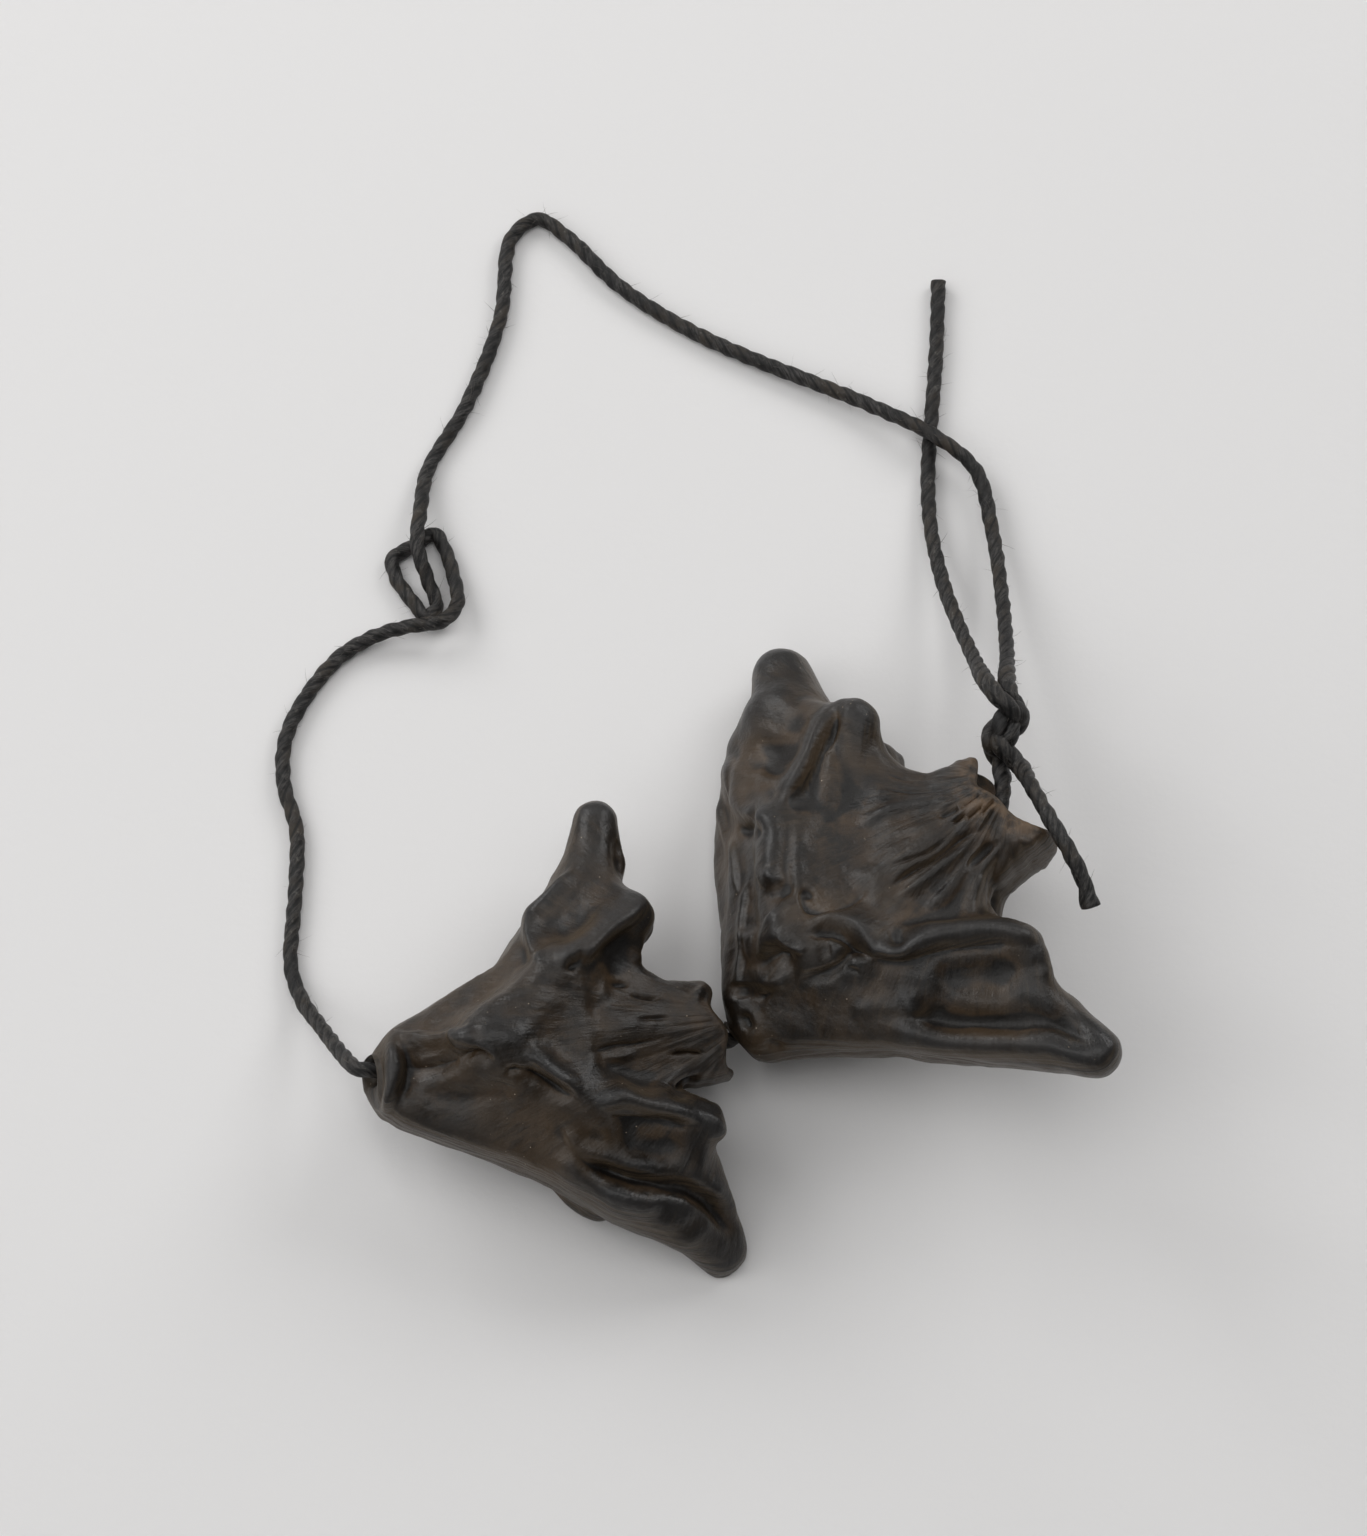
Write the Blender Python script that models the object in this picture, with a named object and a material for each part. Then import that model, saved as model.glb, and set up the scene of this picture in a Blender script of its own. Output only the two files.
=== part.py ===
# Two water caltrop nuts threaded on one waxed fibre cord, which is knotted above the right nut.
# Blender 4.5, metres, +Z up. The nuts lie on z = 0 and the middle of their box is over the origin.
import math

import bmesh
import bpy
import numpy as np
from mathutils import Euler, Vector

MM = 0.001

# Driving dimensions, in millimetres and degrees.
CORD_DIAMETER = 1.5
KNOT_STRAND = 1.0
BORE_RADIUS = 1.3
LIP_THICKNESS = 1.1
FUNNEL_DEPTH = 4.2
AROUND = 60
ALONG = 44
CORD_GAP = 5.0
KNOT_GAP = 1.7
KNOT_SCALE = 1.12
KNOT_CENTRE = (26.5, 20.1, 14.0)
KNOT_LEAN = 14.5
VIEW_ELEVATION = 70.0

# A nut is described in its own axes: x runs to the second horn, y from the base to the crown,
# z out of the upper face. Every ball is (x, y, z, radius). A nut is symmetrical about its flat
# middle plane only in the rough, so the upper and lower ridges have their own balls.
RIGHT_NUT = {
    "location": (13.4, 0.9, 10.5),
    "rotation": (13.8, -15.1, -53.3),
    "ridge 1": [(-0.8, -7.2, 6.3, 2.8), (-11.0, -1.0, 5.6, 2.3), (-16.0, 11.6, 4.2, 2.3)],
    "ridge 2": [(-0.8, -7.2, 6.3, 2.8), (6.6, -1.0, 5.6, 2.2), (14.4, 8.8, 3.8, 2.0)],
    "under 1": [(-1.0, -6.6, -5.8, 2.8), (-8.8, 1.2, -5.4, 2.3), (-15.2, 11.0, -4.0, 2.1)],
    "under 2": [(-1.0, -6.6, -5.8, 2.8), (6.4, -1.0, -5.2, 2.2), (13.2, 7.6, -3.2, 1.9)],
    "horn 1": [(-8.0, 0.0, 0.0, 5.4), (-17.5, 5.0, -0.4, 5.0), (-23.7, 7.8, -0.7, 4.2), (-28.3, 9.8, -1.1, 3.2)],
    "horn 2": [(7.0, -2.0, -0.5, 5.2), (15.0, 3.2, -0.5, 4.6), (21.0, 5.8, -0.2, 3.6), (26.2, 7.4, 0.2, 2.4)],
    "edge 1": [(-2.6, -13.4, 1.4, 3.0), (-14.0, -4.6, 1.6, 1.8), (-24.0, 6.0, 0.4, 3.3)],
    "keel 1": [(-2.4, -13.8, -1.4, 2.8), (-17.6, -6.4, -2.9, 1.8), (-24.2, 2.6, -1.4, 2.8)],
    "edge 2": [(2.0, -12.6, 1.2, 2.8), (11.2, -4.6, 2.0, 2.3), (22.0, 5.2, 0.4, 2.7)],
    "keel 2": [(2.0, -12.8, -1.0, 2.8), (10.6, -4.4, -2.2, 2.2), (21.4, 5.0, -0.4, 2.7)],
    "web 1": [(-9.0, 9.6, 2.0, 2.5), (-5.2, 12.4, 1.6, 2.4), (-3.4, 17.5, 1.2, 2.2)],
    "web 2": [(7.0, 6.2, 2.2, 2.3), (4.2, 10.6, 2.0, 2.2), (4.4, 17.0, 1.2, 2.3)],
    "shield": [(0.0, 2.5, 4.6, 2.4), (0.0, 6.0, 3.9, 2.4), (0.0, 11.0, 2.8, 2.4), (0.3, 18.0, 2.2, 2.3)],
    "neck": [(-0.4, 0.0, 0.0, 7.5), (0.2, 11.0, 0.0, 4.8), (0.4, 17.0, 0.0, 5.1), (0.8, 24.0, 0.0, 6.8)],
    "base": [(0.2, -14.2, 0.0, 3.9), (0.0, -8.0, 0.0, 5.5)],
    "lumps": [],
    "crown": (17.2, 0.0, 0.9, 0.35, 1.0),
    "foot": (-17.4, 0.0),
    "bore": [(0.4, 12.6, 0.0), (0.3, 4.0, 0.0), (0.0, -4.0, 0.0), (-0.3, -12.0, 0.0), (-1.2, -16.6, 0.0)],
    "relief": [
        ([(-2.5, -6.8), (-6.4, -5.4), (-11.0, -1.4), (-13.5, 1.5), (-14.7, 4.2), (-16.3, 8.5)], 1.5, 0.9),
        ([(1.5, -5.4), (3.0, -3.2), (5.0, -2.0), (7.8, -1.0), (10.6, 3.4), (14.6, 9.0)], 1.4, 1.2),
        ([(-9.2, 1.0), (-12.3, 3.1), (-13.9, 5.2), (-15.6, 9.0)], 1.1, -0.7),
        ([(-1.6, -8.2), (-0.2, -7.0)], 2.4, 1.2),
        ([(-3.3, -10.2), (-2.8, -9.4)], 1.2, 1.0),
        ([(0.6, -10.0), (1.4, -9.0)], 1.4, -1.2),
        ([(-13.5, 3.0), (-18.0, 2.0), (-20.0, 4.5)], 3.2, -1.4),
        ([(-10.5, -1.0), (-14.0, -1.8), (-18.0, -2.2)], 1.2, 1.0),
        ([(-11.0, -4.2), (-14.0, -4.2)], 1.9, -0.9),
        ([(5.5, -5.5), (10.6, -1.4), (14.5, 3.2), (17.0, 6.0)], 2.6, -1.3),
        ([(13.0, -2.4), (17.2, 0.6), (20.5, 4.4)], 1.0, -0.8),
        ([(11.6, -2.8), (11.9, -2.6)], 0.9, 0.9),
    ],
}
LEFT_NUT = {
    "location": (-18.5, -11.8, 8.75),
    "rotation": (-5.1, 2.5, -79.0),
    "ridge 1": [(-0.6, -5.8, 6.2, 2.8), (-6.8, 2.6, 5.6, 2.2), (-11.2, 9.7, 4.0, 2.2)],
    "ridge 2": [(-0.6, -5.8, 6.2, 2.8), (6.2, 2.0, 5.4, 2.2), (10.2, 12.8, 3.8, 2.0)],
    "under 1": [(-0.6, -6.0, -6.2, 2.7), (-6.6, 1.2, -5.2, 2.2), (-10.8, 9.2, -3.8, 2.0)],
    "under 2": [(-0.6, -6.0, -6.2, 2.7), (6.0, 0.4, -5.2, 2.2), (9.8, 11.0, -3.4, 1.9)],
    "horn 1": [(-5.0, 0.0, 0.0, 5.2), (-12.7, 5.4, 0.0, 4.0), (-18.2, 8.0, 0.0, 3.1), (-22.4, 8.9, 0.0, 2.2)],
    "horn 2": [(6.0, -1.0, -0.5, 5.2), (13.4, 5.4, -0.5, 4.4), (18.2, 10.4, -2.2, 3.0), (21.0, 13.4, -5.3, 2.1)],
    "edge 1": [(-2.5, -13.4, 1.2, 2.3), (-7.2, -2.4, 2.2, 1.9), (-16.9, 7.0, 0.8, 2.3)],
    "keel 1": [(-2.5, -13.4, -1.2, 2.3), (-8.2, -2.2, -2.2, 1.9), (-17.0, 6.6, -0.6, 2.4)],
    "edge 2": [(3.0, -13.2, 1.2, 2.6), (9.0, -3.4, 1.8, 2.2), (16.6, 9.6, 0.2, 2.3)],
    "keel 2": [(2.8, -13.2, -1.2, 2.6), (9.4, -3.0, -2.2, 2.0), (16.4, 9.6, -1.2, 2.2)],
    "web 1": [(-6.0, 7.6, 2.0, 2.1), (-2.9, 11.6, 1.6, 1.9), (-2.2, 17.5, 1.2, 1.8)],
    "web 2": [(5.8, 8.2, 2.0, 2.1), (3.4, 11.8, 1.6, 2.0), (3.2, 17.0, 1.4, 2.0)],
    "shield": [(0.0, 2.5, 4.5, 2.4), (0.0, 6.0, 3.8, 2.4), (0.0, 11.0, 2.5, 2.2), (0.3, 18.0, 1.9, 2.0)],
    "neck": [(0.0, 0.0, 0.0, 7.0), (0.1, 11.0, 0.0, 3.9), (0.3, 17.0, 0.0, 3.9), (0.6, 24.0, 0.0, 4.6)],
    "base": [(0.2, -14.2, 0.0, 4.0), (0.0, -8.0, 0.0, 5.6)],
    "lumps": [
        ([(9.6, 11.0, 1.0, 2.6), (15.4, 12.2, -0.9, 2.8), (20.9, 13.9, -5.2, 2.1)], 2.5),
        ([(12.6, 0.2, -4.4, 1.3), (15.0, 2.4, -4.0, 1.1)], 1.5),
    ],
    "crown": (16.3, 0.5, 0.0, 0.4, 2.0),
    "foot": (-17.3, 0.9),
    "bore": [(0.2, 12.0, 0.0), (0.1, 4.0, 0.0), (0.0, -4.0, 0.0), (-0.2, -12.0, 0.3), (-0.7, -16.4, 1.2)],
    "relief": [
        ([(-1.5, -7.4), (-4.2, -4.8), (-4.0, -2.6)], 1.3, 1.1),
        ([(-5.0, 0.6), (-7.6, 4.6), (-9.6, 8.0), (-11.2, 11.2)], 1.4, 1.1),
        ([(2.2, -5.4), (3.6, -1.4), (5.4, 1.0), (7.6, 5.2), (10.4, 12.8)], 1.4, 1.2),
        ([(-0.6, -14.5), (-0.6, -10.8), (-1.0, -8.6)], 1.2, 1.0),
        ([(2.2, -9.0), (3.2, -7.2)], 1.3, -1.2),
        ([(-13.5, 5.2), (-10.5, 3.8)], 2.2, -0.9),
        ([(-14.0, 2.2), (-10.8, 1.2), (-8.0, 0.6)], 1.2, 0.8),
        ([(8.5, -0.6), (12.4, 4.2), (14.6, 9.2)], 2.2, -1.3),
        ([(7.0, -2.8), (11.0, -0.6), (14.2, 3.8), (17.0, 9.2)], 1.3, 0.7),
    ],
}

# The cord's route in millimetres, in the order that it runs.
LONG_ROUTE = [
    (-32.3, -14.1, 10.8), (-34.5, -14.3, 11.5), (-36.7, -14.2, 11.9), (-38.5, -12.0, 9.0), (-41.0, -7.9, 4.4),
    (-43.3, -4.2, 1.6), (-44.6, -0.4, 0.8), (-44.4, 7.4, 0.8), (-44.5, 14.0, 0.8), (-46.0, 19.4, 0.8),
    (-45.6, 25.0, 0.8), (-40.8, 32.7, 0.8), (-36.5, 35.2, 1.3), (-33.2, 35.7, 2.3), (-30.0, 36.2, 2.5),
    (-28.6, 38.3, 1.9), (-29.1, 41.7, 1.2), (-30.1, 44.9, 1.0), (-31.2, 46.6, 0.8), (-33.2, 45.3, 0.8),
    (-35.4, 43.8, 0.8), (-35.1, 41.8, 0.8), (-33.4, 39.2, 0.8), (-31.8, 37.4, 0.8), (-30.8, 38.4, 0.8),
    (-31.7, 41.1, 1.5), (-32.8, 44.6, 2.5), (-32.6, 48.8, 2.0), (-32.0, 53.8, 0.8), (-28.1, 61.3, 0.8),
    (-24.7, 71.4, 0.8), (-23.6, 80.9, 0.8), (-20.9, 83.1, 0.8), (-17.6, 80.9, 0.8), (-12.0, 75.1, 0.8),
    (-3.6, 69.4, 0.8), (14.3, 60.9, 1.6), (20.9, 57.0, 2.5), (25.1, 53.4, 1.9), (26.7, 46.6, 1.8),
    (27.4, 38.0, 3.8), (27.4, 30.9, 7.8),
]
TAIL_ROUTE = [
    (23.8, 30.4, 8.0), (21.6, 39.2, 3.4), (20.4, 46.7, 1.5), (20.2, 52.7, 0.8), (20.6, 58.4, 0.8),
    (21.3, 66.5, 0.8), (21.8, 75.6, 0.8),
]
CROWN_ROUTE = [(23.4, 8.8, 13.7), (25.1, 10.3, 14.2), (26.0, 12.5, 14.0)]
SHORT_ROUTE = [(28.8, 12.6, 17.2), (30.1, 9.2, 18.7), (31.9, 5.7, 18.9), (33.3, 2.9, 18.0), (34.0, 0.6, 16.9)]
INNER_ROUTE = [
    (-31.8, -14.0, 10.6), (-26.6, -13.3, 9.6), (-22.4, -12.6, 9.1), (-14.6, -11.1, 8.4), (-6.7, -9.7, 7.7),
    (-3.9, -9.2, 7.4), (-2.3, -9.5, 6.8), (-0.8, -9.7, 6.1), (0.4, -8.8, 6.3), (2.2, -7.6, 6.9), (4.4, -6.3, 7.7),
    (10.4, -1.6, 9.6), (16.5, 3.2, 11.5), (23.0, 8.5, 13.5),
]
# One strand of the knot, from its right leg round to its left leg: across, up and towards the
# viewer. The other strand is the same one turned half round.
KNOT_STRAND_POINTS = [
    (-0.45, 3.6, -1.0), (0.83, 1.75, -1.07), (0.56, 0.75, -0.36), (0.97, 0.25, 0.58), (1.67, -0.59, 0.68),
    (1.6, -1.63, 0.11), (0.58, -2.12, -0.26), (-1.02, -1.81, 0.22), (-1.84, -0.81, -0.27), (-1.4, 0.3, -0.55),
    (-0.62, 0.83, -0.02), (-0.57, 1.61, 0.91), (-2.1, 3.2, 0.9),
]


def clear_scene():
    for item in list(bpy.data.objects):
        bpy.data.objects.remove(item, do_unlink=True)


def material(name, colour, roughness):
    made = bpy.data.materials.new(name)
    made.use_nodes = True
    shader = made.node_tree.nodes["Principled BSDF"]
    shader.inputs["Base Color"].default_value = (*colour, 1.0)
    shader.inputs["Roughness"].default_value = roughness
    shader.inputs["Metallic"].default_value = 0.0
    return made


# Smooth union of two distances: where they differ by less than reach, the skin fills the corner.
def blend(a, b, reach):
    near = np.maximum(reach - np.abs(a - b), 0.0) / reach
    return np.minimum(a, b) - near ** 3 * reach / 6.0


# Distance to the skin over two balls and the cone between them.
def cone(p, a, b, sunk=0.0):
    run = b[:3] - a[:3]
    t = np.clip(((p - a[:3]) @ run) / max(run @ run, 1e-9), 0.0, 1.0)
    return np.linalg.norm(p - a[:3] - t[..., None] * run, axis=-1) - (a[3] + t * (b[3] - a[3])) + sunk


def limb(p, balls):
    balls = np.asarray(balls, float)
    distance = cone(p, balls[0], balls[1])
    for a, b in zip(balls[1:-1], balls[2:]):
        distance = np.minimum(distance, cone(p, a, b))
    return distance


# Distance to the skin stretched over three balls: a flat face with its three cones.
def face(p, a, b, c, sunk):
    one, two = b[:3] - a[:3], c[:3] - a[:3]
    normal = np.cross(one, two)
    square = normal @ normal
    if square < 1e-9:
        return np.minimum(cone(p, a, b, sunk), cone(p, a, c, sunk))
    w = p - a[:3]
    share_b = (np.cross(w, two) @ normal) / square
    share_c = (np.cross(one, w) @ normal) / square
    share_a = 1.0 - share_b - share_c
    inside = (share_a >= 0.0) & (share_b >= 0.0) & (share_c >= 0.0)
    radius = share_a * a[3] + share_b * b[3] + share_c * c[3]
    flat = np.abs(w @ normal) / math.sqrt(square) - radius + sunk
    distance = np.where(inside, flat, 1e9)
    for first, second in ((a, b), (b, c), (c, a)):
        distance = np.minimum(distance, cone(p, first, second, sunk))
    return distance


# A web between two chains of balls, as pairs of faces.
def web(p, one, two, sunk):
    one, two = np.asarray(one, float), np.asarray(two, float)
    distance = np.full(p.shape[:-1], 1e9)
    for i in range(len(one) - 1):
        distance = np.minimum(distance, face(p, one[i], one[i + 1], two[i + 1], sunk))
        distance = np.minimum(distance, face(p, one[i], two[i + 1], two[i], sunk))
    return distance


def mirrored(chain):
    return [(x, y, -0.95 * z, radius) for x, y, z, radius in chain]


# The neck is a limb squashed to 74 per cent of its width.
def squashed_limb(p, balls):
    squash = 0.74
    stretched = p * np.array([1.0, 1.0, 1.0 / squash])
    return limb(stretched, [(x, y, z / squash, radius) for x, y, z, radius in balls]) * squash


# Distance to the nut's skin: faces hung between its ridges, edges and keels, with its horns,
# neck and base.
def nut_distance(p, nut):
    shield, under = nut["shield"], mirrored(nut["shield"])
    f = squashed_limb(p, nut["neck"])
    f = blend(f, limb(p, nut["base"]), 3.5)
    f = blend(f, limb(p, nut["horn 1"]), 3.0)
    f = blend(f, limb(p, nut["horn 2"]), 3.0)
    f = blend(f, web(p, nut["ridge 1"][:2], nut["ridge 2"][:2], 0.3), 2.0)
    f = blend(f, web(p, nut["under 1"][:2], nut["under 2"][:2], 0.3), 2.0)
    for side in ("1", "2"):
        ridge, low = nut["ridge " + side], nut["under " + side]
        edge, keel, frill = nut["edge " + side], nut["keel " + side], nut["web " + side]
        f = blend(f, web(p, ridge[1:], [shield[0], frill[0]], 0.3), 2.0)
        f = blend(f, web(p, low[1:], [under[0], mirrored(frill)[0]], 0.3), 2.0)
        f = blend(f, web(p, ridge, edge, 0.3), 2.0)
        f = blend(f, web(p, edge, keel, 0.2), 2.0)
        f = blend(f, web(p, keel, low, 0.3), 2.0)
        f = blend(f, web(p, frill, shield[1:], 0.0), 2.5)
        f = blend(f, web(p, mirrored(frill), under[1:], 0.0), 2.5)
        f = blend(f, limb(p, ridge), 2.0)
        f = blend(f, limb(p, low), 2.0)
    for balls, reach in nut["lumps"]:
        f = blend(f, limb(p, balls), reach)
    return f


NUT_MIDDLE = np.array([0.0, -1.0, 0.0])


# Points on the skin: each ray runs from far out towards the nut's middle until it meets it.
def march(nut, theta, phi, start, steps):
    across, up = np.cos(theta)[:, None], np.sin(theta)[:, None]
    ray = np.stack([np.sin(phi) * across, np.cos(phi), np.sin(phi) * up], -1)
    reach = np.broadcast_to(start, phi.shape).copy()
    for _ in range(steps):
        reach = np.maximum(reach - 0.9 * nut_distance(NUT_MIDDLE + reach[..., None] * ray, nut), 0.5)
    return NUT_MIDDLE + reach[..., None] * ray


# Angles round the nut, closer together at the two horns.
def angles_round(count):
    fine = np.linspace(0.0, 2.0 * math.pi, 2001)
    density = 1.0 + 2.2 * np.exp(-(np.sin(fine) / 0.28) ** 2)
    total = np.concatenate([[0.0], np.cumsum((density[1:] + density[:-1]) / 2.0)])
    return np.interp(np.arange(count) / count * total[-1], total, fine)


def crown_height(nut, theta):
    level, lean, two_ears, ragged, phase = nut["crown"]
    return level + lean * np.cos(theta) + two_ears * np.cos(2.0 * theta) + ragged * np.sin(5.0 * theta + phase)


def foot_height(nut, theta):
    level, slant = nut["foot"]
    return level + slant * np.sin(theta)


# The outer skin as a grid, AROUND lines from the crown's edge to the base's end, with its
# points spread evenly along each line.
def outer_skin(nut):
    far_out, samples = 36.0, 170
    theta = angles_round(AROUND)
    phi = np.tile(np.radians(np.linspace(4.0, 176.0, samples)), (AROUND, 1))
    points = march(nut, theta, phi, far_out, 26)
    step = np.linalg.norm(np.diff(points, axis=1), axis=2)
    for _ in range(3):
        step = (np.roll(step, 1, 0) + step + np.roll(step, -1, 0)) / 3.0
    step = np.minimum(step, 1.6)
    rows = np.zeros((AROUND, ALONG))
    crown, foot = crown_height(nut, theta), foot_height(nut, theta)
    for i in range(AROUND):
        travelled = np.concatenate([[0.0], np.cumsum(step[i])])
        height = np.minimum.accumulate(points[i, :, 1])
        ends = np.interp([-crown[i], -foot[i]], -height, travelled)
        rows[i] = np.interp(np.linspace(ends[0], ends[1], ALONG), travelled, phi[i])
    return theta, march(nut, theta, rows, far_out, 40)


def skin_normals(points):
    around = np.roll(points, -1, 0) - np.roll(points, 1, 0)
    along = np.gradient(points, axis=1)
    normal = np.cross(along, around)
    normal /= np.maximum(np.linalg.norm(normal, axis=-1), 1e-9)[..., None]
    outward = np.sign(np.median((normal * (points - NUT_MIDDLE)).sum(-1)))
    return normal * outward


# Height of one soft ridge, or groove where it is negative, along a line drawn on the upper face.
def relief(points, line, width, height):
    flat = points[..., :2]
    nearest = np.full(flat.shape[:-1], 1e9)
    for a, b in zip(np.array(line[:-1]), np.array(line[1:])):
        run = b - a
        t = np.clip(((flat - a) @ run) / (run @ run), 0.0, 1.0)
        nearest = np.minimum(nearest, np.linalg.norm(flat - a - t[..., None] * run, axis=-1))
    upper = 1.0 / (1.0 + np.exp(-np.clip(points[..., 2] - 0.5, -30.0, 30.0) / 0.8))
    return height * np.exp(-(nearest / width) ** 2) * upper


# Smooth curve through points (centripetal Catmull-Rom), with a point about every step.
def smooth_curve(route, step):
    route = [np.array(p, float) for p in route]
    padded = [2 * route[0] - route[1]] + route + [2 * route[-1] - route[-2]]
    curve = []
    for a, b, c, d in zip(padded, padded[1:], padded[2:], padded[3:]):
        t1 = np.linalg.norm(b - a) ** 0.5
        t2 = t1 + np.linalg.norm(c - b) ** 0.5
        t3 = t2 + np.linalg.norm(d - c) ** 0.5
        count = max(1, round(np.linalg.norm(c - b) / step))
        for t in np.linspace(t1, t2, count, endpoint=False):
            ab = a + (b - a) * t / t1
            bc = b + (c - b) * (t - t1) / (t2 - t1)
            cd = c + (d - c) * (t - t2) / (t3 - t2)
            abc = ab + (bc - ab) * t / t2
            bcd = bc + (cd - bc) * (t - t1) / (t3 - t1)
            curve.append(abc + (bcd - abc) * (t - t1) / (t2 - t1))
    curve.append(route[-1])
    return np.array(curve)


# A ring round the bore, in the same angles as the skin.
def ring(centre, radius, theta):
    x, y, z = centre
    return np.stack([x + radius * np.cos(theta), np.full_like(theta, y), z + radius * np.sin(theta)], -1)


# The inside of the nut: over the crown's lip, down its funnel and the bore, and out at the base.
def inner_lines(nut, theta, skin):
    bore = smooth_curve(nut["bore"], 4.0)
    top, bottom = skin[:, 0], skin[:, -1]
    inward = np.stack([bore[0, 0] - top[:, 0], 0.0 * theta, bore[0, 2] - top[:, 2]], -1)
    inward /= np.linalg.norm(inward, axis=-1)[:, None]
    first = ring(bore[0], BORE_RADIUS, theta)
    lip = top + inward * LIP_THICKNESS * 0.45 + [0.0, 0.35, 0.0]
    inner_lip = top + inward * LIP_THICKNESS + [0.0, -0.1, 0.0]
    funnel = inner_lip * 0.45 + first * 0.55 + [0.0, 0.1 * FUNNEL_DEPTH, 0.0]
    rings = [lip, inner_lip, funnel]
    rings += [ring(centre, BORE_RADIUS, theta) for centre in bore]
    hole = ring(bore[-1] - [0.0, 0.5, 0.0], BORE_RADIUS * 1.3, theta)
    hole[:, 1] = np.minimum(hole[:, 1], bottom[:, 1] + 0.1)
    rings += [hole, hole * 0.45 + bottom * 0.55 + [0.0, -0.25, 0.0]]
    return np.stack(rings, 1)


# A closed quad mesh from lines that each run once round the nut's section.
def loop_mesh(name, lines):
    across, along = lines.shape[:2]
    corner = np.arange(across * along).reshape(across, along)
    beside, ahead = np.roll(corner, -1, 0), np.roll(corner, -1, 1)
    quads = np.stack([corner, beside, np.roll(beside, -1, 1), ahead], -1).reshape(-1, 4)
    mesh = bpy.data.meshes.new(name)
    mesh.from_pydata(lines.reshape(-1, 3).tolist(), [], quads.tolist())
    work = bmesh.new()
    work.from_mesh(mesh)
    bmesh.ops.recalc_face_normals(work, faces=work.faces)
    work.to_mesh(mesh)
    work.free()
    mesh.shade_smooth()
    return mesh


def build_nut(name, nut, finish):
    theta, skin = outer_skin(nut)
    height = sum(relief(skin, *stroke) for stroke in nut["relief"])
    skin = skin + skin_normals(skin) * height[..., None]
    lines = np.concatenate([skin, inner_lines(nut, theta, skin)[:, ::-1]], 1)
    turn = Euler([math.radians(a) for a in nut["rotation"]]).to_matrix()
    place = np.array(turn)
    # What dips below the table is pressed flat, which gives each nut its small resting spots.
    world = lines @ place.T + nut["location"]
    world[..., 2] = np.maximum(world[..., 2], 0.0)
    lines = (world - nut["location"]) @ place
    item = bpy.data.objects.new(name, loop_mesh(name, lines * MM))
    item.data.materials.append(finish)
    item.location = Vector(nut["location"]) * MM
    item.rotation_euler = Euler([math.radians(a) for a in nut["rotation"]])
    bpy.context.scene.collection.objects.link(item)


# The knot's axes: towards the viewer of the front view, up along the knot, and across it.
def knot_axes():
    elevation, lean = math.radians(VIEW_ELEVATION), math.radians(KNOT_LEAN)
    towards = np.array([0.0, -math.cos(elevation), math.sin(elevation)])
    level_up = np.array([0.0, math.sin(elevation), math.cos(elevation)])
    up = level_up * math.cos(lean) + np.array([1.0, 0.0, 0.0]) * math.sin(lean)
    return np.cross(up, towards), up, towards


def knot_points(half_turn):
    across, up, towards = knot_axes()
    turn = -1.0 if half_turn else 1.0
    return [
        tuple(np.array(KNOT_CENTRE) + KNOT_SCALE * (turn * x * across + turn * y * up + z * towards))
        for x, y, z in KNOT_STRAND_POINTS
    ]


# A cord is a bevelled curve with filled caps, thinner where it is drawn tight in the knot.
def build_cord(name, pieces, finish):
    centre, slim = [], []
    for points, gap, thickness in pieces:
        if centre:
            points = [centre[-1]] + list(points)
        part = smooth_curve(points, gap)
        skip = 1 if centre else 0
        centre += [tuple(p) for p in part[skip:]]
        slim += [thickness / CORD_DIAMETER] * (len(part) - skip)
    curve = bpy.data.curves.new(name, "CURVE")
    curve.dimensions = "3D"
    curve.bevel_depth = CORD_DIAMETER / 2.0 * MM
    curve.bevel_resolution = 2
    curve.use_fill_caps = True
    spline = curve.splines.new("POLY")
    spline.points.add(len(centre) - 1)
    for point, place, scale in zip(spline.points, centre, slim):
        point.co = (*(Vector(place) * MM), 1.0)
        point.radius = scale
    spline.use_smooth = True
    curve.materials.append(finish)
    item = bpy.data.objects.new(name, curve)
    bpy.context.scene.collection.objects.link(item)
    print(name, len(centre), "points")


clear_scene()
nut_finish = material("dark nut shell", (0.047, 0.041, 0.037), 0.42)
cord_finish = material("waxed black cord", (0.062, 0.058, 0.055), 0.7)
build_nut("nut_right", RIGHT_NUT, nut_finish)
build_nut("nut_left", LEFT_NUT, nut_finish)
long_cord = [(LONG_ROUTE, CORD_GAP, CORD_DIAMETER), (knot_points(False), KNOT_GAP, KNOT_STRAND)]
build_cord("cord_long", long_cord + [(TAIL_ROUTE, CORD_GAP, CORD_DIAMETER)], cord_finish)
short_cord = [(CROWN_ROUTE, CORD_GAP, CORD_DIAMETER), (knot_points(True), KNOT_GAP, KNOT_STRAND)]
build_cord("cord_short", short_cord + [(SHORT_ROUTE, CORD_GAP, CORD_DIAMETER)], cord_finish)
build_cord("cord_inner", [(INNER_ROUTE, CORD_GAP, CORD_DIAMETER)], cord_finish)
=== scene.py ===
from math import cos, pi, radians, sin, sqrt, tau

import bmesh
import bpy
import numpy as np
from mathutils import Euler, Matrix
from numpy.linalg import norm


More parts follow.
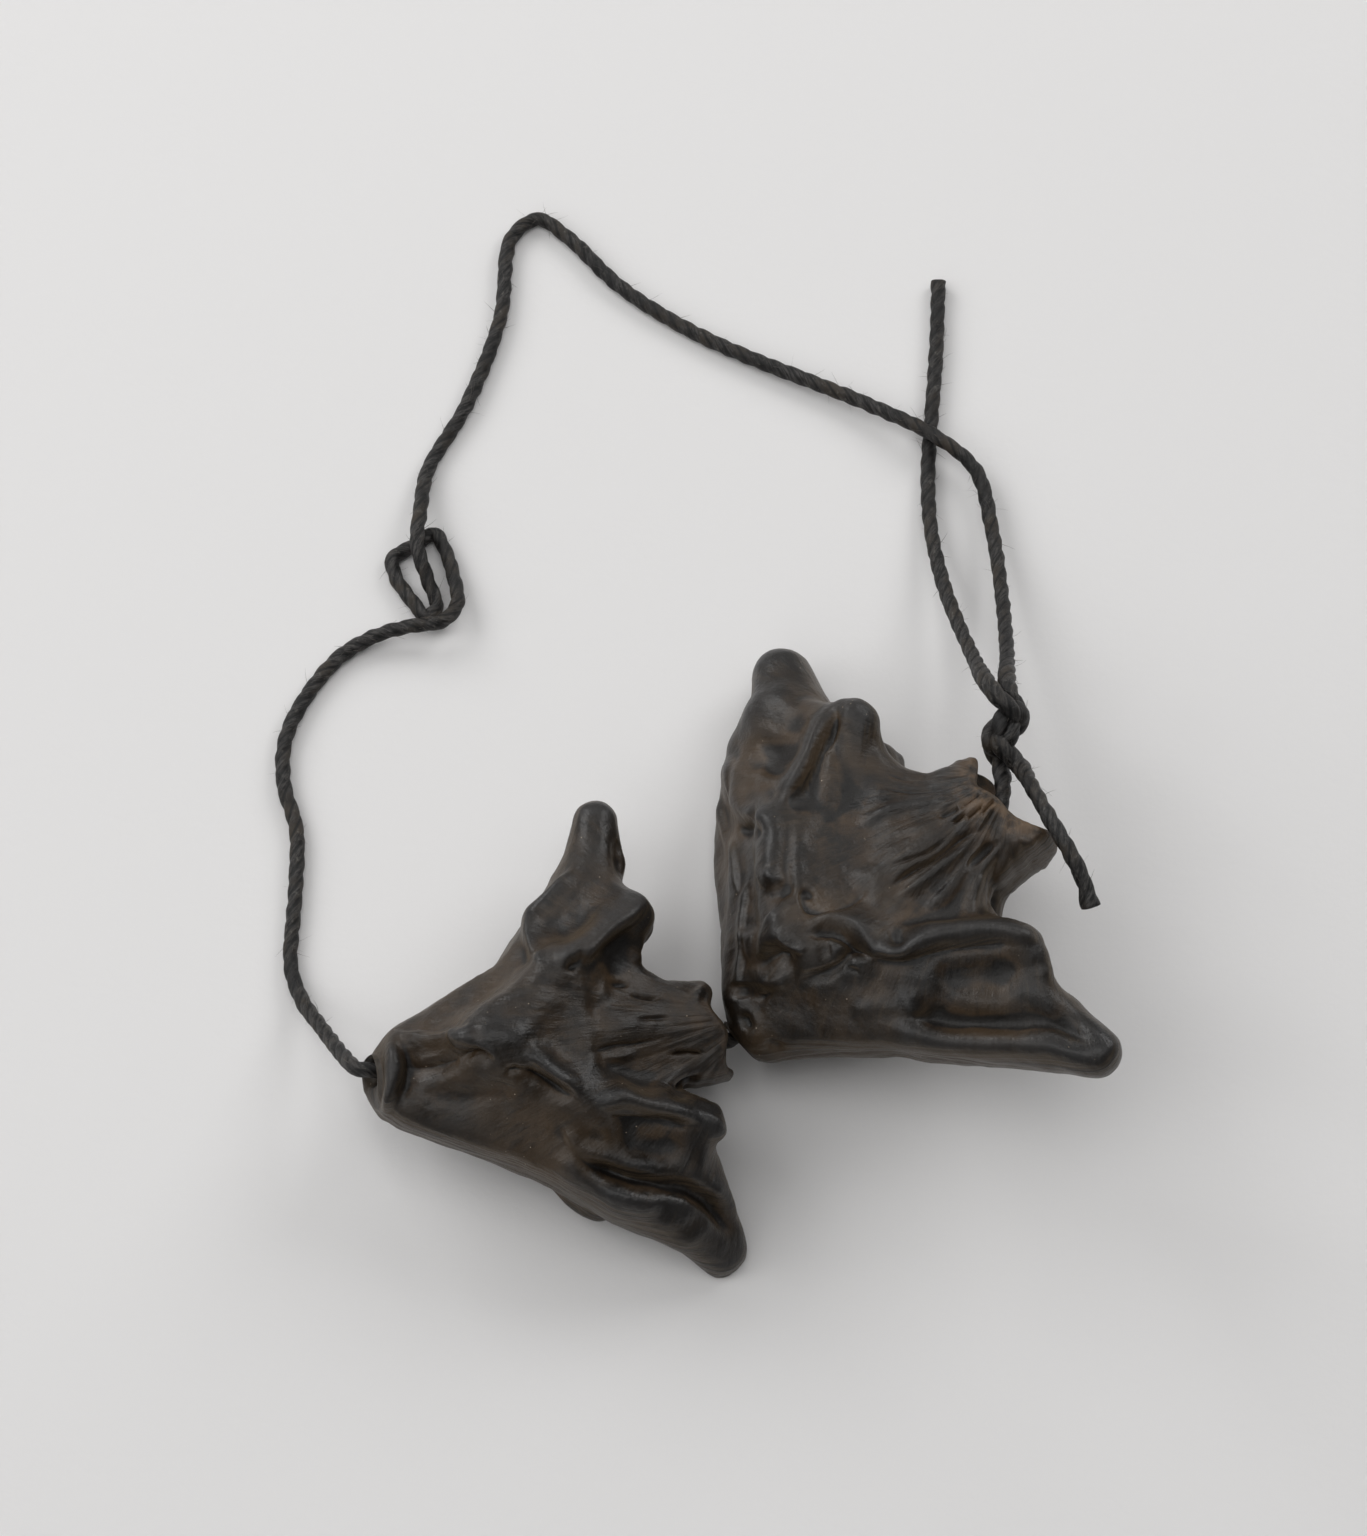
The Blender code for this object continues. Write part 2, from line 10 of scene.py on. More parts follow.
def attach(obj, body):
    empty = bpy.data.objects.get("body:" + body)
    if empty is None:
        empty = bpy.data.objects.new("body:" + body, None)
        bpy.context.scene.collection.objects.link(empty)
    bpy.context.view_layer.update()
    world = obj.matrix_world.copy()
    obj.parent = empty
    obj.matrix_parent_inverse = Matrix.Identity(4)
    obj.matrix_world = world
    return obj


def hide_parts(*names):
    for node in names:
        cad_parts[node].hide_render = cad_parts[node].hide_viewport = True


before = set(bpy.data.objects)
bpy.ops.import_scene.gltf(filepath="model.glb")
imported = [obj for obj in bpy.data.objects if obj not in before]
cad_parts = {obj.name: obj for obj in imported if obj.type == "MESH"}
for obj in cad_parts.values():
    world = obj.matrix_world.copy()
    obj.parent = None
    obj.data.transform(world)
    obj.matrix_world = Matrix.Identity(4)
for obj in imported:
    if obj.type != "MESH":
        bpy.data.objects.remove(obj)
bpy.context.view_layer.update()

# Sizes below are in millimetres unless a name says otherwise; mm turns them into metres.
mm = 0.001
latticeSize = 24


# Random heights on a repeating lattice, blended smoothly between its points, from -1 to 1.
def latticeNoise(points, seed):
    table = np.random.default_rng(seed).random((latticeSize,) * 3) * 2.0 - 1.0
    cell = np.floor(points).astype(int)
    f = points - cell
    f = f * f * (3.0 - 2.0 * f)
    total = 0.0
    for corner in np.ndindex(2, 2, 2):
        x, y, z = np.moveaxis((cell + corner) % latticeSize, -1, 0)
        share = np.moveaxis(np.abs(1.0 - np.array(corner) - f), -1, 0)
        total = total + table[x, y, z] * share[0] * share[1] * share[2]
    return total


# Noise of several sizes added together, each half as large and half as strong as the last.
def layeredNoise(points, seed, layers):
    return sum(latticeNoise(points * 2.0 ** n, seed + n) * 0.5 ** n for n in range(layers))


# Rises from 0 at low to 1 at high, level at both ends.
def smoothStep(low, high, value):
    t = np.clip((value - low) / (high - low), 0.0, 1.0)
    return t * t * (3.0 - 2.0 * t)


# Smooth curve through points (centripetal Catmull-Rom), with a point about every step.
def smoothCurve(route, step):
    route = [np.array(p, float) for p in route]
    padded = [2 * route[0] - route[1]] + route + [2 * route[-1] - route[-2]]
    curve = []
    for a, b, c, d in zip(padded, padded[1:], padded[2:], padded[3:]):
        t1 = norm(b - a) ** 0.5
        t2 = t1 + norm(c - b) ** 0.5
        t3 = t2 + norm(d - c) ** 0.5
        count = max(1, round(norm(c - b) / step))
        for t in np.linspace(t1, t2, count, endpoint=False):
            ab = a + (b - a) * t / t1
            bc = b + (c - b) * (t - t1) / (t2 - t1)
            cd = c + (d - c) * (t - t2) / (t3 - t2)
            abc = ab + (bc - ab) * t / t2
            bcd = bc + (cd - bc) * (t - t1) / (t3 - t1)
            curve.append(abc + (bcd - abc) * (t - t1) / (t2 - t1))
    curve.append(route[-1])
    return np.array(curve)


def newObject(name, data):
    item = bpy.data.objects.new(name, data)
    bpy.context.scene.collection.objects.link(item)
    return item


# A mesh object from points in millimetres and faces that all have the same number of corners.
def meshObject(name, points, faces, smooth=True):
    points, faces = points.reshape(-1, 3) * mm, np.asarray(faces)
    sides = faces.shape[1]
    mesh = bpy.data.meshes.new(name)
    mesh.vertices.add(len(points))
    mesh.vertices.foreach_set("co", points.ravel())
    mesh.loops.add(faces.size)
    mesh.loops.foreach_set("vertex_index", faces.ravel().astype(np.int32))
    mesh.polygons.add(len(faces))
    mesh.polygons.foreach_set("loop_start", np.arange(0, faces.size, sides, dtype=np.int32))
    mesh.polygons.foreach_set("use_smooth", np.full(len(faces), smooth))
    mesh.update(calc_edges=True)
    mesh.validate()
    return newObject(name, mesh)


# Gives a piece named numbers at each of its points, for its material to read.
def vertexValues(item, **named):
    for name, values in named.items():
        layer = item.data.attributes.new(name, "FLOAT", "POINT")
        layer.data.foreach_set("value", values.ravel().astype(np.float32))


# Shader helpers: most of them add one node and return its output.
class Shader:
    def __init__(self, name):
        self.material = bpy.data.materials.new(name)
        self.material.use_nodes = True
        self.tree = self.material.node_tree
        self.surface = self.tree.nodes["Principled BSDF"]

    def node(self, kind, **settings):
        made = self.tree.nodes.new("ShaderNode" + kind)
        for key, value in settings.items():
            setattr(made, key, value)
        return made

    def put(self, socket, value):
        if isinstance(value, bpy.types.NodeSocket):
            self.tree.links.new(value, socket)
        else:
            socket.default_value = value

    def fill(self, made, **values):
        for key, value in values.items():
            self.put(made.inputs[key], value)
        return made.outputs

    def coordinates(self):
        return self.node("TexCoord").outputs["Object"]

    def attribute(self, name):
        return self.node("Attribute", attribute_name=name).outputs["Fac"]

    def vector(self, x, y, z=0.0):
        return self.fill(self.node("CombineXYZ"), X=x, Y=y, Z=z)["Vector"]

    def noise(self, vector, scale, detail=4.0, roughness=0.55):
        made = self.node("TexNoise")
        return self.fill(made, Vector=vector, Scale=scale, Detail=detail, Roughness=roughness)["Fac"]

    def cells(self, vector, scale):
        return self.fill(self.node("TexVoronoi"), Vector=vector, Scale=scale)["Distance"]

    # Runs smoothly from the bottom value at low to the top value at high.
    def spread(self, value, low, high, top=1.0, bottom=0.0):
        made = self.node("MapRange", interpolation_type="SMOOTHSTEP")
        for socket, number in zip(made.inputs, (value, low, high, bottom, top)):
            self.put(socket, number)
        return made.outputs["Result"]

    def math(self, operation, a, b=0.0):
        made = self.node("Math", operation=operation)
        self.put(made.inputs[0], a)
        self.put(made.inputs[1], b)
        return made.outputs["Value"]

    def mix(self, share, a, b):
        made = self.node("Mix", data_type="RGBA")
        for socket, value in ((0, share), (6, a), (7, b)):
            self.put(made.inputs[socket], (*value, 1.0) if isinstance(value, tuple) else value)
        return made.outputs[2]

    def bump(self, height, distance, strength, under=None):
        made = self.node("Bump")
        if under is not None:
            self.put(made.inputs["Normal"], under)
        return self.fill(made, Strength=strength, Distance=distance, Height=height)["Normal"]

    # Lays tones over the first colour one by one, each as far as its share says.
    def layered(self, colour, tones, layers):
        for share, tone in layers:
            colour = self.mix(share, colour, tones[tone])
        return colour

    # Sets the surface's own sockets and returns the material.
    def finish(self, colour, roughness, specular):
        names = ("Base Color", "Roughness", "Specular IOR Level")
        for name, value in zip(names, (colour, roughness, specular)):
            self.put(self.surface.inputs[name], value)
        return self.material


print("camera and lights")
view = {
    "elevation": 70.0,
    "distance": 426.7,
    "target": (-5.3, 18.1, 8.0),
    "lens": 100.0,
    "nearest": 20.0,
}


# The directions towards the camera and up in its view.
def viewAxes():
    angle = radians(view["elevation"])
    sine, cosine = sin(angle), cos(angle)
    return np.array([0.0, -cosine, sine]), np.array([0.0, sine, cosine])


def makeCamera():
    data = bpy.data.cameras.new("camera")
    data.lens = view["lens"]
    data.clip_start = view["nearest"] * mm
    item = newObject("camera", data)
    item.location = (np.array(view["target"]) + view["distance"] * viewAxes()[0]) * mm
    item.rotation_euler = (radians(90.0 - view["elevation"]), 0.0, 0.0)
    bpy.context.scene.camera = item


makeCamera()


# Where a point shows in the front view: millimetres across and up in the plane through the
# camera's target. The last value is the direction from the point to the camera.
def frontView(world):
    towards, levelUp = viewAxes()
    away = world - np.array(view["target"])
    shrink = view["distance"] / (view["distance"] - away @ towards)
    sight = view["distance"] * towards - away
    sight /= norm(sight, axis=-1)[..., None]
    return np.stack([away[..., 0] * shrink, (away @ levelUp) * shrink], -1), sight


# A panel is its name, the angles round from the right and up in degrees, its width in metres and
# its power in watts. Distances are in metres here.
studio = {
    "room": 0.10,
    "panels": [
        ("above", 90, 88, 0.6, 1.6),
        ("left", 180, 52, 0.6, 1.1),
        ("leftLow", 185, 28, 0.5, 1.1),
        ("backLeft", 135, 30, 0.5, 2.6),
        ("back", 90, 32, 0.5, 0.8),
        ("backRight", 45, 32, 0.5, 2.3),
        ("right", 0, 55, 0.5, 0.3),
        ("frontLeft", 240, 40, 0.7, 0.7),
    ],
    "panelDistance": 0.9,
    "floor": (0.82, 0.81, 0.805),
    "floorReach": 1.5,
}


# A round panel that faces the middle, at an angle round from the right and an angle up.
def makePanel(name, around, up, size, power):
    data = bpy.data.lights.new(name, "AREA")
    data.shape = "DISK"
    data.size = size
    data.energy = power
    item = newObject(name, data)
    a, e = radians(around), radians(up)
    place = np.array([cos(e) * cos(a), cos(e) * sin(a), sin(e)])
    item.location = place * studio["panelDistance"]
    item.rotation_euler = (pi / 2.0 - e, 0.0, a + pi / 2.0)


def makeStudio():
    world = bpy.data.worlds.new("studio")
    bpy.context.scene.world = world
    world.use_nodes = True
    background = world.node_tree.nodes["Background"]
    background.inputs["Color"].default_value = (1.0, 1.0, 1.0, 1.0)
    background.inputs["Strength"].default_value = studio["room"]
    for panel in studio["panels"]:
        makePanel(*panel)
    corners = np.array([[-1, -1, 0], [1, -1, 0], [1, 1, 0], [-1, 1, 0]]) * studio["floorReach"] / mm
    floor = meshObject("floor", corners, [[0, 1, 2, 3]], smooth=False)
    paper = Shader("paper")
    grain = paper.noise(paper.coordinates(), 900.0, 3.0)
    paper.put(paper.surface.inputs["Normal"], paper.bump(grain, 0.00008, 0.35))
    floor.data.materials.append(paper.finish((*studio["floor"], 1.0), 0.9, 0.2))


makeStudio()
bpy.context.scene.view_settings.view_transform = "Standard"

print("cord")
cord = {
    "diameter": 1.5,
    "knotDiameter": 1.8,
    "plyTurn": 6.2,
    "plies": 3,
    "plyDepth": 0.1,
    "hairs": 420,
    "hairLength": (0.35, 1.3),
    "hairWidth": (0.02, 0.045),
    "knotCentre": (26.5, 20.1, 14.0),
    "knotLean": 14.5,
    "knotScale": 0.98,
    "knotSqueeze": 0.5,
    "knotSkew": 0.36,
    "step": 0.22,
    "sides": 24,
    "fairing": 12,
}
cordTones = {
    "dark": (0.002, 0.002, 0.0021),
    "light": (0.062, 0.058, 0.055),
    "blotch": (0.04, 0.032, 0.024),
    "dust": (0.15, 0.14, 0.125),
    # painted shade for the crevices between the plies
    "groove": (0.003, 0.0029, 0.0028),
    "worn": (0.005, 0.0049, 0.005),
    "hairDark": (0.05, 0.045, 0.04),
    "hairLight": (0.16, 0.14, 0.12),
}

# Points of each stretch of the cord. The knot's are about its own centre, across, up and out.
longRoute = [
    (-32.3, -14.1, 10.8), (-34.5, -14.3, 11.5), (-36.7, -14.2, 11.9), (-38.5, -12, 9), (-41, -7.9, 4.4),
    (-43.3, -4.2, 1.6), (-44.6, -0.4, 0.8), (-44.4, 7.4, 0.8), (-44.5, 14, 0.8), (-46, 19.4, 0.8),
    (-45.6, 25, 0.8), (-40.8, 32.7, 0.8), (-36.5, 35.2, 1.3), (-33.2, 35.7, 2.3), (-30, 36.2, 2.5),
    (-28.6, 38.3, 1.9), (-29.1, 41.7, 1.2), (-30.1, 44.9, 1), (-31.2, 46.6, 0.8), (-33.2, 45.3, 0.8),
    (-35.4, 43.8, 0.8), (-35.1, 41.8, 0.8), (-33.4, 39.2, 0.8), (-31.8, 37.4, 0.8), (-30.8, 38.4, 0.8),
    (-31.7, 41.1, 1.5), (-32.8, 44.6, 2.5), (-32.6, 48.8, 2), (-32, 53.8, 0.8), (-28.1, 61.3, 0.8),
    (-24.7, 71.4, 0.8), (-23.6, 80.9, 0.8), (-20.9, 83.1, 0.8), (-17.6, 80.9, 0.8), (-12, 75.1, 0.8),
    (-3.6, 69.4, 0.8), (14.3, 60.9, 1.6), (20.9, 57, 2.5), (25.1, 53.4, 1.9), (26.7, 46.6, 1.8),
    (27.4, 38, 3.8), (27.4, 30.9, 7.8),
]
tailRoute = [
    (23.8, 30.4, 8), (21.6, 39.2, 3.4), (20.4, 46.7, 1.5), (20.2, 52.7, 0.8), (20.6, 58.4, 0.8),
    (21.3, 66.5, 0.8), (21.8, 75.6, 0.8),
]
crownRoute = [(23.4, 8.8, 13.7), (25.1, 10.3, 14.2), (26, 12.5, 14)]
shortRoute = [(28.8, 12.6, 17.2), (30.1, 9.2, 18.7), (31.9, 5.7, 18.9), (33.3, 2.9, 18), (34, 0.6, 16.9)]
innerRoute = [
    (-31.8, -14, 10.6), (-26.6, -13.3, 9.6), (-22.4, -12.6, 9.1), (-14.6, -11.1, 8.4), (-6.7, -9.7, 7.7),
    (-3.9, -9.2, 7.4), (-2.3, -9.5, 6.8), (-0.8, -9.7, 6.1), (0.4, -8.8, 6.3), (2.2, -7.6, 6.9),
    (4.4, -6.3, 7.7), (10.4, -1.6, 9.6), (16.5, 3.2, 11.5), (23, 8.5, 13.5),
]
knotStrand = [
    (-0.45, 3.6, -1), (0.83, 1.75, -1.07), (0.56, 0.75, -0.36), (0.97, 0.25, 0.58), (1.67, -0.59, 0.68),
    (1.6, -1.63, 0.11), (0.58, -2.12, -0.26), (-1.02, -1.81, 0.22), (-1.84, -0.81, -0.27), (-1.4, 0.3, -0.55),
    (-0.62, 0.83, -0.02), (-0.57, 1.61, 0.91), (-2.1, 3.2, 0.9),
]


# One strand's points in the knot; the other strand is the same one turned half round. The
# squeeze pulls the strands together across the knot, as drawing it tight does.
def knotPoints(turn):
    lean = radians(cord["knotLean"])
    towards, levelUp = viewAxes()
    up = levelUp * cos(lean) + [sin(lean), 0.0, 0.0]
    across = np.cross(up, towards)
    x, y, z = np.array(knotStrand).T
    inside = np.abs(y) < 3.0
    x = np.where(inside, x * cord["knotSqueeze"] + y * cord["knotSkew"], x)
    place = turn * x[:, None] * across + turn * y[:, None] * up + z[:, None] * towards
    return np.array(cord["knotCentre"]) + cord["knotScale"] * place


# Centre line, radius and distance run, from stretches of (points, diameter).
def cordLine(stretches):
    route = [tuple(p) for points, _ in stretches for p in points]
    sizes = np.concatenate([[width] * len(points) for points, width in stretches])
    centre = smoothCurve(route, cord["step"])
    knots = np.array(route)
    nearest = np.argmin(norm(centre[:, None] - knots[None], axis=-1), axis=1)
    size = sizes[nearest]
    for _ in range(cord["fairing"]):
        size = np.concatenate([size[:1], (size[:-2] + size[1:-1] + size[2:]) / 3.0, size[-1:]])
    run = np.concatenate([[0.0], np.cumsum(norm(np.diff(centre, axis=0), axis=1))])
    return centre, size / 2.0, run


# Two directions across the line at each point, carried along it without twisting.
def crossAxes(centre):
    ahead = np.gradient(centre, axis=0)
    ahead /= norm(ahead, axis=1)[:, None]
    side = np.cross(ahead[0], [0.31, 0.2, 0.93])
    sides = []
    for direction in ahead:
        side = side - (side @ direction) * direction
        side = side / norm(side)
        sides.append(side)
    sides = np.array(sides)
    return ahead, sides, np.cross(ahead, sides)


# A laid cord: its section is a few rounded plies that turn with the distance run, with each
# ring a little uneven, and its cut ends closed by shrinking rings.
def makeCord(name, stretches, node, seed, flare=1.0):
    centre, radius, run = cordLine(stretches)
    ahead, side, over = crossAxes(centre)
    angles = np.linspace(0.0, tau, cord["sides"], endpoint=False)
    turn = tau * run / cord["plyTurn"]
    ply = np.abs(np.cos(cord["plies"] / 2.0 * (angles[None] - turn[:, None])))
    level, rise = np.cos(angles)[None], np.sin(angles)[None]
    uneven = np.stack(np.broadcast_arrays(level, rise, run[:, None] / 0.9), -1)
    rough = layeredNoise(uneven * 1.3 + 40.0, seed, 3)
    swell = latticeNoise(np.stack([run / 5.0, 0 * run + 3.3, 0 * run + 7.7], -1), seed + 9)[:, None]
    spread = 1.0 + (flare - 1.0) * smoothStep(run[-1] - 2.0, run[-1], run)[:, None]
    lumps = 0.055 * rough + 0.05 * swell
    size = radius[:, None] * spread * (0.93 + cord["plyDepth"] * (ply * 2.0 - 0.8) + lumps)
    outward = level[..., None] * side[:, None] + rise[..., None] * over[:, None]
    place = centre[:, None] + size[..., None] * outward
    place[..., 2] = np.maximum(place[..., 2], 0.0)
    ends = []
    for end, out in ((0, -1.0), (-1, 1.0)):
        rim = place[end] - centre[end]
        domed = ((0.8, 0.07), (0.35, 0.1), (0.02, 0.1))
        ends.append([centre[end] + rim * share + out * ahead[end] * lift for share, lift in domed])
    rings = np.concatenate([np.array(ends[0][::-1]), place, np.array(ends[1])])
    count, around = rings.shape[:2]
    corner = np.arange(count * around).reshape(count, around)
    beside = np.roll(corner, -1, 1)
    quads = np.stack([corner[:-1], beside[:-1], beside[1:], corner[1:]], -1).reshape(-1, 4)
    caps = np.array([corner[0][::-1], corner[-1]])
    item = meshObject(name, rings, quads)
    closeEnds(item, caps)
    full = np.pad(run, 3, "edge")
    turned = angles[None] / tau - full[:, None] / cord["plyTurn"]
    vertexValues(item, run=np.repeat(full, around), lay=turned * cord["plies"],
                 ply=np.pad(ply, ((3, 3), (0, 0)), "edge"))
    item.data.materials.append(cordFinish)
    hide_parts(node)
    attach(item, "root")
    return item, centre, radius, run, side, over, ahead


# Adds a flat face on each end ring.
def closeEnds(item, caps):
    work = bmesh.new()
    work.from_mesh(item.data)
    work.verts.ensure_lookup_table()
    for ring in caps:
        work.faces.new([work.verts[int(i)] for i in ring])
    bmesh.ops.recalc_face_normals(work, faces=work.faces)
    work.to_mesh(item.data)
    work.free()


# Fibres that follow the plies, with blotches of wax, pale dust, worn dark patches, and painted shade in the
# crevices between the plies.
def cordMaterial():
    s = Shader("waxed cord")
    lay, run, place = s.attribute("lay"), s.attribute("run"), s.coordinates()
    fibre = s.noise(s.vector(s.math("MULTIPLY", lay, 2.2), s.math("MULTIPLY", run, 0.35)), 3.0, 6.0, 0.7)
    blotch = s.noise(place, 350.0, 3.0)
    dust = s.noise(place, 1500.0, 5.0, 0.7)
    worn = s.noise(place, 260.0, 3.0)
    base = s.mix(s.spread(fibre, 0.4, 0.62), cordTones["dark"], cordTones["light"])
    base = s.layered(base, cordTones, (
        (s.spread(blotch, 0.45, 0.7), "blotch"),
        (s.spread(dust, 0.56, 0.72, 0.65), "dust"),
        # painted shade: darkens the colour between the plies, where shade falls
        (s.spread(s.attribute("ply"), 0.1, 0.6, 0.0, 0.9), "groove"),
        (s.spread(worn, 0.48, 0.64, 0.65), "worn"),
    ))
    shape = s.bump(fibre, 0.00012, 0.9)
    s.put(s.surface.inputs["Normal"], s.bump(dust, 0.00005, 0.8, shape))
    return s.finish(base, s.spread(fibre, 0.3, 0.7, 0.6, 0.36), 0.32)


# Loose fibre ends: thin tapered three-sided hairs that leave the cord and bend away.
def makeHairs(name, line, count, seed):
    _, centre, radius, _, side, over, ahead = line
    rng = np.random.default_rng(seed)
    pick = np.sort(rng.integers(6, len(centre) - 6, count))
    turn = rng.uniform(0.0, tau, count)
    out = np.cos(turn)[:, None] * side[pick] + np.sin(turn)[:, None] * over[pick]
    out[:, 2] = np.abs(out[:, 2])
    length = rng.uniform(*cord["hairLength"], count) ** 1.5
    lean = rng.uniform(-1.2, 1.2, count)
    steps = np.linspace(0.0, 1.0, 5)
    corners = np.linspace(0.0, tau, 3, endpoint=False)
    start = centre[pick] + out * radius[pick][:, None] * 0.8
    curl = np.cross(out, ahead[pick]) * rng.uniform(-0.7, 0.7, count)[:, None]
    t = steps[None, :, None]
    travel = out[:, None] * t + ahead[pick][:, None] * lean[:, None, None] * t + curl[:, None] * t ** 2
    spine = start[:, None] + travel * length[:, None, None]
    spine[..., 2] = np.maximum(spine[..., 2], 0.03)
    thick = rng.uniform(*cord["hairWidth"], count)[:, None] * (1.0 - 0.8 * steps[None])
    level, rise = np.cos(corners)[None, :, None], np.sin(corners)[None, :, None]
    ring = level * side[pick][:, None] + rise * over[pick][:, None]
    points = spine[:, :, None] + thick[..., None, None] * ring[:, None]
    index = np.arange(points[..., 0].size).reshape(points.shape[:3])
    nextRound = np.roll(index, -1, 2)
    quads = np.stack([index[:, :-1], nextRound[:, :-1], nextRound[:, 1:], index[:, 1:]], -1).reshape(-1, 4)
    item = meshObject(name, points, quads)
    item.data.materials.append(hairFinish)
    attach(item, "root")


def hairMaterial():
    s = Shader("loose fibre")
    shade = s.noise(s.coordinates(), 500.0, 2.0)
    return s.finish(s.mix(shade, cordTones["hairDark"], cordTones["hairLight"]), 0.7, 0.5)


# The stretches of one strand: up to the knot, through it and on to its cut end.
def throughKnot(before, turn, after):
    wide = cord["diameter"]
    return [(before, wide), (knotPoints(turn), cord["knotDiameter"]), (after, wide)]


cordFinish, hairFinish = cordMaterial(), hairMaterial()
longCord = makeCord("cordLong", throughKnot(longRoute, 1.0, tailRoute), "cord_long", 5, 1.08)
shortCord = makeCord("cordShort", throughKnot(crownRoute, -1.0, shortRoute), "cord_short", 15, 1.35)
makeCord("cordRun", [(innerRoute, cord["diameter"])], "cord_inner", 25)
makeHairs("hairsLong", longCord, cord["hairs"], 31)
makeHairs("hairsShort", shortCord, cord["hairs"] // 6, 32)

print("nuts")
finish = {
    "around": 336,
    "along": 244,
    "inner": 50,
    "boreRadius": 1.3,
    "lip": 1.1,
    "funnel": 4.2,
    "middle": (0.0, -1.0, 0.0),
    "fanCentre": (0.6, 20.5),
    "underside": 0.7,
    "corner": 2.0,
    "sunk": 0.3,
    "squash": 0.74,
    "shortStroke": 1.6,
    "strokeFade": 2.6,
    "phiRange": (4.0, 176.0),
    "coarse": (72, 80),
    "fineAlong": 150,
    "startReach": 36.0,
    "longestStep": 1.8,
}
shellTones = {
    "dark": (0.008, 0.0066, 0.0056),
    "mid": (0.02, 0.0142, 0.0092),
    "tan": (0.06, 0.037, 0.018),
    "hollow": (0.092, 0.055, 0.027),
    "fibre": (0.06, 0.042, 0.026),
    "crack": (0.006, 0.0052, 0.0045),
    # partly worn edges, partly painted sheen: a paler grey on the crests
    "crestWearAndSheen": (0.018, 0.0172, 0.0172),
    # painted shade for the narrow grooves and the deepest hollows
    "groove": (0.004, 0.0036, 0.0033),
    "flank": (0.078, 0.056, 0.034),
    "fleck": (0.42, 0.34, 0.26),
    "crown": (0.16, 0.1, 0.055),
}

